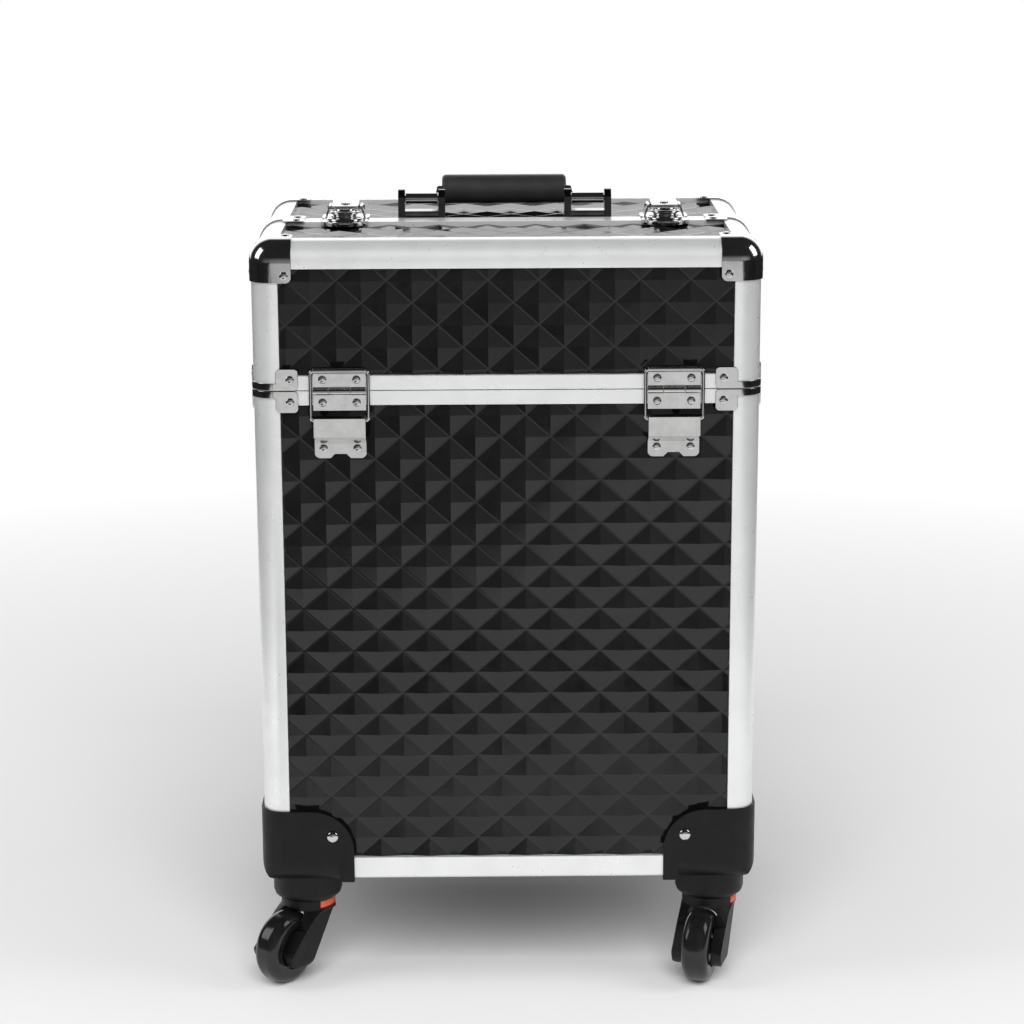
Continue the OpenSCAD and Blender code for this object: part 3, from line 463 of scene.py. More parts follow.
@dataclass(frozen=True)
class EdgeBreak:
    """Rounding of the sharp edges of a copied part.

    Attributes:
        width: Width of the rounding.
        segments: Number of strips across it.
        sharp: Least angle of an edge that is rounded.
    """

    width: float
    segments: int = 2
    sharp: float = math.radians(40)


PRESSED = EdgeBreak(0.3 * MM)
EXTRUDED = EdgeBreak(0.35 * MM)
MOULDED = EdgeBreak(0.8 * MM, 3)
CAST = EdgeBreak(0.5 * MM)
PLAIN = EdgeBreak(0.0)


class Workshop:
    """Steps that every sub-assembly uses to make its pieces."""

    # Distance of corners that are joined, least angle between faces that stay apart, least angle
    # of an edge that isn't smoothed, and the profile of a round bevel
    MERGE = 0.005 * MM
    FLAT = math.radians(0.5)
    SMOOTH = math.radians(42)
    ROUND = 0.5

    def merged(self, nodes: list[str]) -> bmesh.types.BMesh:
        """Copies the meshes of nodes into one and joins their loose triangles.

        Args:
            nodes: Names of the nodes.

        Returns:
            The joined mesh with its flat faces whole.
        """
        bm = bmesh.new()
        for node in nodes:
            bm.from_mesh(frame["nodes"][node].data)
        bmesh.ops.remove_doubles(bm, verts=bm.verts, dist=self.MERGE)
        bmesh.ops.dissolve_limit(bm, angle_limit=self.FLAT, verts=bm.verts, edges=bm.edges)
        return bm

    def break_edges(self, bm: bmesh.types.BMesh, edge: EdgeBreak) -> None:
        """Rounds the sharp edges of a mesh in place.

        Args:
            bm: The mesh.
            edge: The rounding.
        """
        if not edge.width:
            return
        sharp = [e for e in bm.edges if e.is_manifold and e.calc_face_angle() > edge.sharp]
        bmesh.ops.bevel(bm, geom=sharp, offset=edge.width, segments=edge.segments,
                        affect="EDGES", profile=self.ROUND, clamp_overlap=True)

    def piece(self, name: str, mesh: bpy.types.Mesh | bmesh.types.BMesh,
              finish: Finish) -> bpy.types.Object:
        """Turns a mesh into an object in the scene.

        Args:
            name: Name of the piece.
            mesh: Its mesh, in place.
            finish: Its finish.

        Returns:
            The object.
        """
        if isinstance(mesh, bmesh.types.BMesh):
            data = bpy.data.meshes.new(name)
            mesh.to_mesh(data)
            mesh.free()
        else:
            data = mesh
            data.name = name
        data.materials.clear()
        data.materials.append(finish.material())
        made = bpy.data.objects.new(name, data)
        bpy.context.scene.collection.objects.link(made)
        return made

    def smooth(self, made: bpy.types.Object, sharp: float = SMOOTH) -> None:
        """Shades an object smoothly, with flat faces kept flat.

        Args:
            made: The object.
            sharp: Angle from which an edge stays sharp.
        """
        made.data.shade_smooth()
        made.data.set_sharp_from_angle(angle=sharp)
        weigh = made.modifiers.new("weigh", "WEIGHTED_NORMAL")
        weigh.keep_sharp = True
        shaded = made.evaluated_get(bpy.context.evaluated_depsgraph_get())
        mesh = bpy.data.meshes.new_from_object(shaded)
        made.modifiers.clear()
        made.data = mesh

    def hand_over(self, made: bpy.types.Object, nodes: list[str], slot: Slot) -> bpy.types.Object:
        """Lets a piece stand for nodes and ride on their body.

        Args:
            made: The piece.
            nodes: Nodes that it replaces, all on one body.
            slot: Its material slot; not used.

        Returns:
            The piece.
        """
        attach(made, frame["nodes"][nodes[0]]["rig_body"])
        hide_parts(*nodes)
        LOG.info("%s: %d faces, stands for %s", made.name, len(made.data.polygons), ", ".join(nodes))
        return made

    def copied(self, name: str, nodes: list[str], finish: Finish, slot: Slot,
               edge: EdgeBreak) -> bpy.types.Object:
        """Makes a piece as a finer copy of nodes.

        Args:
            name: Name of the piece.
            nodes: Nodes that it copies and replaces.
            finish: Its finish.
            slot: Its material slot.
            edge: Rounding of its edges.

        Returns:
            The piece.
        """
        bm = self.merged(nodes)
        self.break_edges(bm, edge)
        made = self.piece(name, bm, finish)
        self.smooth(made)
        return self.hand_over(made, nodes, slot)


class Face(Enum):
    """Sides of the case, each with its directions to the right and up as seen from outside."""

    FRONT = ((1, 0, 0), (0, 0, 1))
    REAR = ((-1, 0, 0), (0, 0, 1))
    LEFT = ((0, -1, 0), (0, 0, 1))
    RIGHT = ((0, 1, 0), (0, 0, 1))
    TOP = ((1, 0, 0), (0, 1, 0))

    def axes(self) -> tuple[Vector, Vector, Vector]:
        """Returns the directions to the right, up and outwards."""
        right, up = Vector(self.value[0]), Vector(self.value[1])
        return right, up, right.cross(up)


@dataclass
class EmbossedPanels(Workshop):
    """Black panels pressed into rows of staggered diamonds with pointed peaks.

    Attributes:
        cell_w: Width of a diamond.
        cell_h: Height of a diamond.
        relief: Height of the peaks above the valleys.
        valley: Share of a diamond taken by the flat bottom of the valley round it.
        strip: Share of a diamond taken by the valley and the rounding next to it.
        strip_rise: Share of the relief that the rounding climbs.
        crease: Least angle of an edge that stays sharp.
        base_peak: Place of one peak on a panel of the base, across from its middle and up from its foot.
        flap_peak: The same on a panel of a flap.
    """

    cell_w: float = 34.7 * MM
    cell_h: float = 30.75 * MM
    relief: float = 2.0 * MM
    valley: float = 0.025
    strip: float = 0.08
    strip_rise: float = 0.036
    crease: float = math.radians(7.1)
    base_peak: Pair = (-4.6 * MM, 14.0 * MM)
    flap_peak: Pair = (4.7 * MM, 3.3 * MM)

    # Diamonds beyond what a panel's width and height take up
    SPARE_COLUMNS = 3
    SPARE_ROWS = 2

    def grow_tree(self) -> GeometryTree:
        """Builds the tree that lays the diamonds side by side in staggered rows.

        Returns:
            The tree.
        """
        made = GeometryTree("diamond_rows")
        sheet = made.sheet
        width, height = made.size("Cell Width"), made.size("Cell Height")
        relief = made.size("Relief")
        valley, strip, rise = made.size("Valley"), made.size("Strip"), made.size("Strip Rise")
        columns, rows = made.size("Columns", "NodeSocketInt"), made.size("Rows", "NodeSocketInt")
        pitch = sheet.math("DIVIDE", height, 2.0)
        points = self.lay_points(sheet, width, pitch, columns, rows)
        diamond = self.lay_diamond(sheet, valley, strip, rise)
        half = sheet.math("DIVIDE", width, 2.0)
        scale = sheet.add("ShaderNodeCombineXYZ", {"X": half, "Y": pitch, "Z": relief})
        sunk = sheet.add("ShaderNodeCombineXYZ", {"Z": sheet.math("MULTIPLY", relief, -1.0)})
        shaped = sheet.add("GeometryNodeTransform", {
            "Geometry": diamond, "Translation": sunk.outputs[0], "Scale": scale.outputs[0]})
        laid = sheet.add("GeometryNodeInstanceOnPoints", {
            "Points": points, "Instance": shaped.outputs["Geometry"]})
        plain = sheet.add("GeometryNodeRealizeInstances", {"Geometry": laid.outputs["Instances"]})
        made.close(sheet.weld(plain.outputs["Geometry"], self.MERGE))
        return made

    def lay_points(self, sheet: GeometrySheet, width: Socket, pitch: Socket, columns: Socket,
                   rows: Socket) -> Socket:
        """Lays the grid of points with every second row moved by half a diamond.

        Args:
            sheet: Where the nodes go.
            width: Distance of the points in a row.
            pitch: Distance of the rows.
            columns: Points in a row.
            rows: Number of rows.

        Returns:
            The socket with the points.
        """
        size_x = sheet.math("MULTIPLY", width, sheet.math("SUBTRACT", columns, 1.0))
        size_y = sheet.math("MULTIPLY", pitch, sheet.math("SUBTRACT", rows, 1.0))
        grid = sheet.add("GeometryNodeMeshGrid", {
            "Size X": size_x, "Size Y": size_y, "Vertices X": columns, "Vertices Y": rows})
        place = sheet.add("GeometryNodeInputPosition").outputs["Position"]
        height = sheet.add("ShaderNodeSeparateXYZ", {"Vector": place}).outputs["Y"]
        row = sheet.math("ROUND", sheet.math("DIVIDE", height, pitch))
        odd = sheet.math("FLOORED_MODULO", row, 2.0)
        step = sheet.math("MULTIPLY", odd, sheet.math("DIVIDE", width, 2.0))
        offset = sheet.add("ShaderNodeCombineXYZ", {"X": step})
        moved = sheet.add("GeometryNodeSetPosition", {
            "Geometry": grid.outputs["Mesh"], "Offset": offset.outputs["Vector"]})
        return moved.outputs["Geometry"]

    def lay_diamond(self, sheet: GeometrySheet, valley: Socket, strip: Socket, rise: Socket) -> Socket:
        """Draws one diamond of radius 1 and height 1: the valley, its rounding and four facets.

        Args:
            sheet: Where the nodes go.
            valley: Share of the radius that the flat valley takes.
            strip: Share of the radius that the valley and its rounding take.
            rise: Share of the height that the rounding climbs.

        Returns:
            The socket with the diamond.
        """
        outline = sheet.add("GeometryNodeMeshCircle", {"Vertices": 4, "Radius": 1.0}, fill_type="NGON")
        edge = sheet.math("SUBTRACT", 1.0, valley)
        inner = sheet.math("DIVIDE", sheet.math("SUBTRACT", 1.0, strip), edge)
        climb = sheet.math("SUBTRACT", 1.0, rise)
        steps = [(0.0, edge), (rise, inner), (climb, 0.0)]
        return sheet.weld(sheet.draw_up(outline.outputs["Mesh"], steps))

    def sheet_of(self, width: float, height: float, thick: float,
                 peak: Pair) -> bmesh.types.BMesh:
        """Makes one panel flat in XY, its middle at the origin and its peaks at z 0.

        Args:
            width: Width of the panel.
            height: Height of the panel.
            thick: Thickness of the panel behind the peaks.
            peak: Place of one peak, from the middle across and from the lower edge up.

        Returns:
            The closed panel.
        """
        # Odd numbers put a peak at the origin, and the spare ones reach past the edges
        columns = 2 * math.ceil(width / self.cell_w / 2) + self.SPARE_COLUMNS
        rows = 2 * (2 * math.ceil(height / self.cell_h / 2) + self.SPARE_ROWS) + 1
        flat = self.tree.bake(bpy.data.meshes.new("panel"), {
            "Cell Width": self.cell_w, "Cell Height": self.cell_h, "Relief": self.relief,
            "Valley": self.valley, "Strip": self.strip, "Strip Rise": self.strip_rise,
            "Columns": columns, "Rows": rows, "Material": PANEL.material()})
        bm = bmesh.new()
        bm.from_mesh(flat)
        up = math.remainder(peak[1] - height / 2, self.cell_h)
        across = math.remainder(peak[0], self.cell_w)
        bmesh.ops.translate(bm, verts=bm.verts, vec=(across, up, 0))
        for side, reach in ((Vector((1, 0, 0)), width / 2), (Vector((0, 1, 0)), height / 2)):
            for way in (side, -side):
                geometry = [*bm.verts, *bm.edges, *bm.faces]
                bmesh.ops.bisect_plane(bm, geom=geometry, dist=self.MERGE, plane_co=way * reach,
                                       plane_no=way, clear_outer=True)
        self.close_back(bm, thick)
        return bm

    def close_back(self, bm: bmesh.types.BMesh, thick: float) -> None:
        """Draws the rim of a cut panel back to its rear face and closes it.

        Args:
            bm: The panel.
            thick: Its thickness behind the peaks.
        """
        rim = [e for e in bm.edges if e.is_boundary]
        drawn = bmesh.ops.extrude_edge_only(bm, edges=rim)["geom"]
        for vert in (v for v in drawn if isinstance(v, bmesh.types.BMVert)):
            vert.co.z = -thick
        back = [e for e in drawn if isinstance(e, bmesh.types.BMEdge)]
        bmesh.ops.holes_fill(bm, edges=back, sides=0)
        bmesh.ops.recalc_face_normals(bm, faces=bm.faces)

    def placed(self, face: Face, low: Vector, high: Vector, peak: Pair) -> bmesh.types.BMesh:
        """Makes the panel that fills a box.

        Args:
            face: Side of the case that it faces.
            low: Lowest corner of the box.
            high: Highest corner of the box.
            peak: Place of one peak, from the middle across and from the lower edge up.

        Returns:
            The panel in its place.
        """
        right, up, out = face.axes()
        span = high - low
        width, height, thick = (abs(span.dot(axis)) for axis in (right, up, out))
        bm = self.sheet_of(width, height, thick, peak)
        middle = (low + high) / 2 + out * thick / 2
        turn = Matrix((right, up, out)).transposed().to_4x4()
        bmesh.ops.transform(bm, matrix=Matrix.Translation(middle) @ turn, verts=bm.verts)
        return bm

    def dress(self, node: str, bm: bmesh.types.BMesh) -> None:
        """Lets a pressed mesh stand for a node.

        Args:
            node: Name of the node.
            bm: The mesh, in place.
        """
        made = self.piece(f"embossed_{node}", bm, PANEL)
        self.smooth(made, self.crease)
        self.hand_over(made, [node], Slot.PANEL)

    def panel(self, node: str, face: Face, peak: Pair) -> None:
        """Dresses a node that is one panel."""
        self.dress(node, self.placed(face, *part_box(node), peak))

    def pair(self, node: str, thick: float, peak: Pair) -> None:
        """Dresses a node that holds the left and the right panel.

        Args:
            node: Name of the node.
            thick: Thickness of the panels.
            peak: Place of one peak, from the middle across and from the lower edge up.
        """
        low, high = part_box(node)
        left = self.placed(Face.LEFT, low, Vector((low.x + thick, high.y, high.z)), peak)
        right = self.placed(Face.RIGHT, Vector((high.x - thick, low.y, low.z)), high, peak)
        spare = bpy.data.meshes.new("spare")
        right.to_mesh(spare)
        right.free()
        left.from_mesh(spare)
        bpy.data.meshes.remove(spare)
        self.dress(node, left)

    def build(self) -> None:
        """Makes every panel of the base and of the two flaps."""
        self.tree = self.grow_tree()
        low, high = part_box("base_front_panel")
        thick = high.y - low.y
        self.panel("base_front_panel", Face.FRONT, self.base_peak)
        self.panel("base_rear_panel", Face.REAR, self.base_peak)
        self.pair("base_side_panels", thick, self.base_peak)
        self.panel("front_flap_front_panel", Face.FRONT, self.flap_peak)
        self.panel("rear_flap_rear_panel", Face.REAR, self.flap_peak)
        for flap in ("front", "rear"):
            self.panel(f"{flap}_flap_top_panel", Face.TOP, self.flap_peak)
            self.pair(f"{flap}_flap_side_panels", thick, self.flap_peak)
        self.copied("base_floor_plate", ["base_floor"], PLATE, Slot.PANEL, PRESSED)


@dataclass
class RailFrame(Workshop):
    """Extruded aluminium rails that hold the panels."""

    def build(self) -> None:
        """Makes the rails of the base and of the two flaps."""
        self.copied("base_rail_posts", ["base_posts"], ALUMINIUM, Slot.RAIL, EXTRUDED)
        self.copied("base_rail_foot", ["base_bottom_rails"], ALUMINIUM, Slot.RAIL, EXTRUDED)
        self.copied("base_rail_rim", ["base_rim_rails"], ALUMINIUM, Slot.RAIL, EXTRUDED)
        for flap in ("front", "rear"):
            for end, node in (("rail_posts", "posts"), ("rail_set", "rails")):
                self.copied(f"{flap}_flap_{end}", [f"{flap}_flap_{node}"], ALUMINIUM, Slot.RAIL, EXTRUDED)


@dataclass
class CornerHardware(Workshop):
    """Pressed corner caps and seam clips."""

    def build(self) -> None:
        """Makes the caps and clips of the base and of the two flaps."""
        self.copied("base_seam_clips", ["base_clips"], CHROME, Slot.CHROME, PRESSED)
        for flap in ("front", "rear"):
            self.copied(f"{flap}_flap_seam_clips", [f"{flap}_flap_clips"], CHROME, Slot.CHROME, PRESSED)
            self.copied(f"{flap}_flap_caps", [f"{flap}_flap_corner_caps"], CHROME, Slot.CHROME, PRESSED)


@dataclass(frozen=True)
class Head:
    """One head of a rivet or screw.

    Attributes:
        foot: Middle of its foot.
        facing: Direction that it faces.
        radius: Its radius.
        height: Its height.
    """

    foot: Vector
    facing: Vector
    radius: float
    height: float

    # Decimals of a metre that sizes are compared to
    DIGITS = 5

    def size(self) -> Pair:
        """Returns the radius and the height, rounded so that heads of one kind compare as equal."""
        return round(self.radius, self.DIGITS), round(self.height, self.DIGITS)


@dataclass
class RivetHeads(Workshop):
    """Domed heads of the rivets and of the housing screws.

    Attributes:
        segments: Sides of a head.
        rings: Steps of its dome.
        brim: Share of the height that is straight before the dome starts.
        tip: Least share of the radius that a ring keeps.
        screw_height: Height of the screw heads.
        screw_least: Least radius of a head that counts as a screw.
    """

    segments: int = 24
    rings: int = 5
    brim: float = 0.2
    tip: float = 0.05
    screw_height: float = 2.2 * MM
    screw_least: float = 3.5 * MM

    def grow_tree(self) -> GeometryTree:
        """Builds the tree that sets a head on each point, turned to the point's facing.

        Returns:
            The tree.
        """
        made = GeometryTree("domed_heads")
        sheet = made.sheet
        radius, height = made.size("Radius"), made.size("Height")
        scale = sheet.add("ShaderNodeCombineXYZ", {"X": radius, "Y": radius, "Z": height})
        shaped = sheet.add("GeometryNodeTransform", {
            "Geometry": self.lay_head(sheet), "Scale": scale.outputs["Vector"]})
        facing = sheet.add("GeometryNodeInputNamedAttribute", {"Name": "facing"},
                           data_type="FLOAT_VECTOR")
        turn = sheet.add("FunctionNodeAlignRotationToVector", {
            "Vector": facing.outputs["Attribute"]}, axis="Z")
        laid = sheet.add("GeometryNodeInstanceOnPoints", {
            "Points": made.entry.outputs["Geometry"], "Instance": shaped.outputs["Geometry"],
            "Rotation": turn.outputs["Rotation"]})
        made.close(laid.outputs["Instances"])
        return made

    def lay_head(self, sheet: GeometrySheet) -> Socket:
        """Draws a head of radius 1 and height 1 as rings drawn in step by step, closed below.

        Args:
            sheet: Where the nodes go.

        Returns:
            The socket with the head.
        """
        base = sheet.add("GeometryNodeMeshCircle", {
            "Vertices": self.segments, "Radius": 1.0}, fill_type="NGON").outputs["Mesh"]
        under = sheet.add("GeometryNodeFlipFaces", {"Mesh": base}).outputs["Mesh"]
        angles = [math.pi / 2 * step / self.rings for step in range(self.rings + 1)]
        levels = [0.0] + [self.brim + (1 - self.brim) * math.sin(angle) for angle in angles]
        radii = [1.0] + [max(math.cos(angle), self.tip) for angle in angles]
        rises = [after - before for before, after in zip(levels, levels[1:])]
        shares = [after / before for before, after in zip(radii, radii[1:])]
        raised = sheet.draw_up(base, list(zip(rises, shares)))
        whole = sheet.add("GeometryNodeJoinGeometry")
        for part in (raised, under):
            sheet.tree.links.new(part, whole.inputs["Geometry"])
        closed = sheet.weld(whole.outputs["Geometry"])
        return sheet.add("GeometryNodeSetShadeSmooth", {"Geometry": closed}).outputs["Geometry"]

    def find_heads(self, node: str) -> list[Head]:
        """Finds the heads of a node.

        Args:
            node: Name of the node.

        Returns:
            The heads, each with the size and facing of its solid.
        """
        bm = self.merged([node])
        heads = []
        for island in self.islands(bm):
            low = Vector([min(v.co[axis] for v in island) for axis in AXES])
            high = Vector([max(v.co[axis] for v in island) for axis in AXES])
            span, middle = high - low, (low + high) / 2
            axis = min(AXES, key=lambda number: span[number])
            facing = Vector((0, 0, 0))
            facing[axis] = 1.0 if axis == UP_AXIS or middle[axis] > 0 else -1.0
            radius = max(span) / 2
            height = self.screw_height if radius > self.screw_least else span[axis]
            heads.append(Head(middle + facing * (span[axis] / 2 - height), facing, radius, height))
        bm.free()
        return heads

    def islands(self, bm: bmesh.types.BMesh) -> list[list[bmesh.types.BMVert]]:
        """Splits a mesh into its connected solids.

        Args:
            bm: The mesh.

        Returns:
            The corners of each solid.
        """
        found, seen = [], set()
        for start in bm.verts:
            if start in seen:
                continue
            island, ahead = [], [start]
            seen.add(start)
            while ahead:
                vert = ahead.pop()
                island.append(vert)
                for other in (e.other_vert(vert) for e in vert.link_edges):
                    if other not in seen:
                        seen.add(other)
                        ahead.append(other)
            found.append(island)
        return found

    def heads_of(self, node: str) -> bpy.types.Mesh:
        """Makes the heads of one node, with one bake for each size of head.

        Args:
            node: Name of the node.

        Returns:
            The heads as one mesh.
        """
        heads = self.find_heads(node)
        whole = bmesh.new()
        for size in sorted({head.size() for head in heads}):
            some = [head for head in heads if head.size() == size]
            points = bpy.data.meshes.new(node)
            points.from_pydata([head.foot for head in some], [], [])
            facing = points.attributes.new("facing", "FLOAT_VECTOR", "POINT")
            facing.data.foreach_set("vector", [value for head in some for value in head.facing])
            values = {"Radius": size[0], "Height": size[1], "Material": CHROME.material()}
            whole.from_mesh(self.tree.bake(points, values))
        mesh = bpy.data.meshes.new(node)
        whole.to_mesh(mesh)
        whole.free()
        return mesh

    def build(self) -> None:
        """Makes the heads of the base and of the two flaps."""
        self.tree = self.grow_tree()
        for node in ("base_fasteners", "front_flap_rivets", "rear_flap_rivets"):
            made = self.piece(f"domed_{node}", self.heads_of(node), CHROME)
            made.data.set_sharp_from_angle(angle=self.SMOOTH)
            self.hand_over(made, [node], Slot.CHROME)


@dataclass
class StopHinges(Workshop):
    """Hinges with guide tongues and wire rings that stop the flaps."""

    def build(self) -> None:
        """Makes the leaves, tongues, pins and rings."""
        self.copied("lower_hinge_leaves", ["hinge_lower_leaves"], CHROME, Slot.CHROME, PRESSED)
        self.copied("guide_tongues", ["hinge_tongues"], CHROME, Slot.CHROME, PRESSED)
        self.copied("hinge_pin_rods", ["hinge_pins"], STEEL, Slot.STEEL, PLAIN)
        for flap in ("front", "rear"):
            self.copied(f"{flap}_upper_leaves", [f"{flap}_hinge_leaves"], CHROME, Slot.CHROME, PRESSED)
            self.copied(f"{flap}_stay_rings", [f"{flap}_stays"], CHROME, Slot.CHROME, PLAIN)


@dataclass
class TopLatches(Workshop):
    """Lever latches that hold the two flaps together."""

    def build(self) -> None:
        """Makes the catches, the feet and the levers."""
        self.copied("latch_claws", ["latch_catches"], CHROME, Slot.CHROME, CAST)
        self.copied("latch_feet", ["latch_bases"], CHROME, Slot.CHROME, PRESSED)
        for side in ("left", "right"):
            self.copied(f"{side}_lever", [f"{side}_latch_lever"], CHROME, Slot.CHROME, PRESSED)


@dataclass
class CarryHandle(Workshop):
    """Folding handle on the top."""

    def build(self) -> None:
        """Makes the brackets, the bail and the grip."""
        # The brackets take the chrome painted dark, a painted shade
        self.copied("bail_brackets", ["handle_brackets"], CHROME_PAINTED_DARK, Slot.CHROME, CAST)
        self.copied("wire_bail", ["handle_bail"], CHROME, Slot.CHROME, PLAIN)
        self.copied("round_grip", ["handle_grip"], GRIP, Slot.GRIP, PLAIN)


@dataclass
class Casters(Workshop):
    """Swivel casters in their corner housings.

    Attributes:
        marker_r: Inner and outer radius of the orange marker round a fork's neck.
        marker_drop: Depth of its upper and its lower edge below the top of the fork.
        marker_half: Half of the angle that the marker spans.
        marker_steps: Steps along the marker.
    """

    marker_r: Pair = (17.5 * MM, 19.95 * MM)
    marker_drop: Pair = (0.3 * MM, 5.3 * MM)
    marker_half: float = math.radians(24)
    marker_steps: int = 12

    def marker(self, corner: str) -> None:
        """Lays the orange marker on the right side of a fork's neck, as seen from behind the wheel.

        Args:
            corner: Corner of the case that the caster stands at.
        """
        body = frame["nodes"][f"fork_{corner}"]["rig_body"]
        swivel = next(joint for joint in frame["joints"] if joint["child"] == body)
        top = Vector((swivel["pos_m"][0], swivel["pos_m"][1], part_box(f"fork_{corner}")[1].z))
        wheel = sum(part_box(f"wheel_{corner}"), Vector()) / 2 - top
        turn = math.atan2(wheel.x, -wheel.y)
        bm = bmesh.new()
        (inner, outer), (high, low) = self.marker_r, self.marker_drop
        section = ((inner, low), (outer, low), (outer, high), (inner, high))
        rings = []
        for step in range(self.marker_steps + 1):
            angle = turn + self.marker_half * (2 * step / self.marker_steps - 1)
            out = Vector((math.cos(angle), math.sin(angle), 0))
            rings.append([bm.verts.new(top + out * radius - Vector((0, 0, drop)))
                          for radius, drop in section])
        for near, far in zip(rings, rings[1:]):
            for side in range(len(section)):
                after = (side + 1) % len(section)
                bm.faces.new((near[side], near[after], far[after], far[side]))
        bm.faces.new(rings[0])
        bm.faces.new(rings[-1])
        bmesh.ops.recalc_face_normals(bm, faces=bm.faces)
        self.break_edges(bm, CAST)
        made = self.piece(f"{corner}_marker", bm, MARKER)
        self.smooth(made)
        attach(made, body)
        LOG.info("%s: %d faces, lies on %s", made.name, len(made.data.polygons), body)

    def build(self) -> None:
        """Makes the housings, the swivel pins, the forks with their markers and the wheels."""
        self.copied("corner_housings", ["caster_housings"], HOUSING, Slot.CASTER, MOULDED)
        self.copied("swivel_pins", ["kingpins"], STEEL, Slot.STEEL, PRESSED)
        for corner in ("front_left", "front_right", "rear_left", "rear_right"):
            self.copied(f"{corner}_fork", [f"fork_{corner}"], HOUSING, Slot.CASTER, MOULDED)
            self.copied(f"{corner}_wheel", [f"wheel_{corner}"], TREAD, Slot.WHEEL, PLAIN)
            self.marker(corner)


@dataclass
class Interior(Workshop):
    """Linings, trays and the arms that lift them."""

    def build(self) -> None:
        """Makes what shows when the flaps stand open."""
        self.copied("base_felt", ["base_lining"], NAP, Slot.LINING, CAST)
        self.copied("arm_pins", ["tray_arm_pins"], STEEL, Slot.STEEL, PRESSED)
        for flap in ("front", "rear"):
            self.copied(f"{flap}_flap_felt", [f"{flap}_flap_lining"], NAP, Slot.LINING, CAST)
            self.copied(f"{flap}_tray_box", [f"{flap}_tray"], TRAY, Slot.TRAY, CAST)
            self.copied(f"{flap}_lift_arms", [f"{flap}_tray_arms"], STEEL, Slot.STEEL, PRESSED)
            self.copied(f"{flap}_pivot_pins", [f"{flap}_tray_pivots"], STEEL, Slot.STEEL, PRESSED)


@dataclass(frozen=True)
class Softbox:
    """One soft lamp.

    Attributes:
        name: Name of the lamp.
        place: Its middle.
        aim: Point that it faces.
        size: Its width and height.
        power: Its power in watts.
        mirrored: Whether glossy surfaces show it.
    """

    name: str
    place: Vector
    aim: Vector
    size: Pair
    power: float
    mirrored: bool = True

    def set_up(self) -> None:
        """Puts the lamp in the scene, out of the camera's sight."""
        data = bpy.data.lights.new(self.name, "AREA")
        data.shape = "RECTANGLE"
        data.size, data.size_y = self.size
        data.energy = self.power
        lamp = bpy.data.objects.new(self.name, data)
        lamp.location = self.place
        lamp.rotation_euler = (self.aim - self.place).to_track_quat("-Z", "Y").to_euler()
        lamp.visible_camera = False
        lamp.visible_glossy = self.mirrored
        bpy.context.scene.collection.objects.link(lamp)


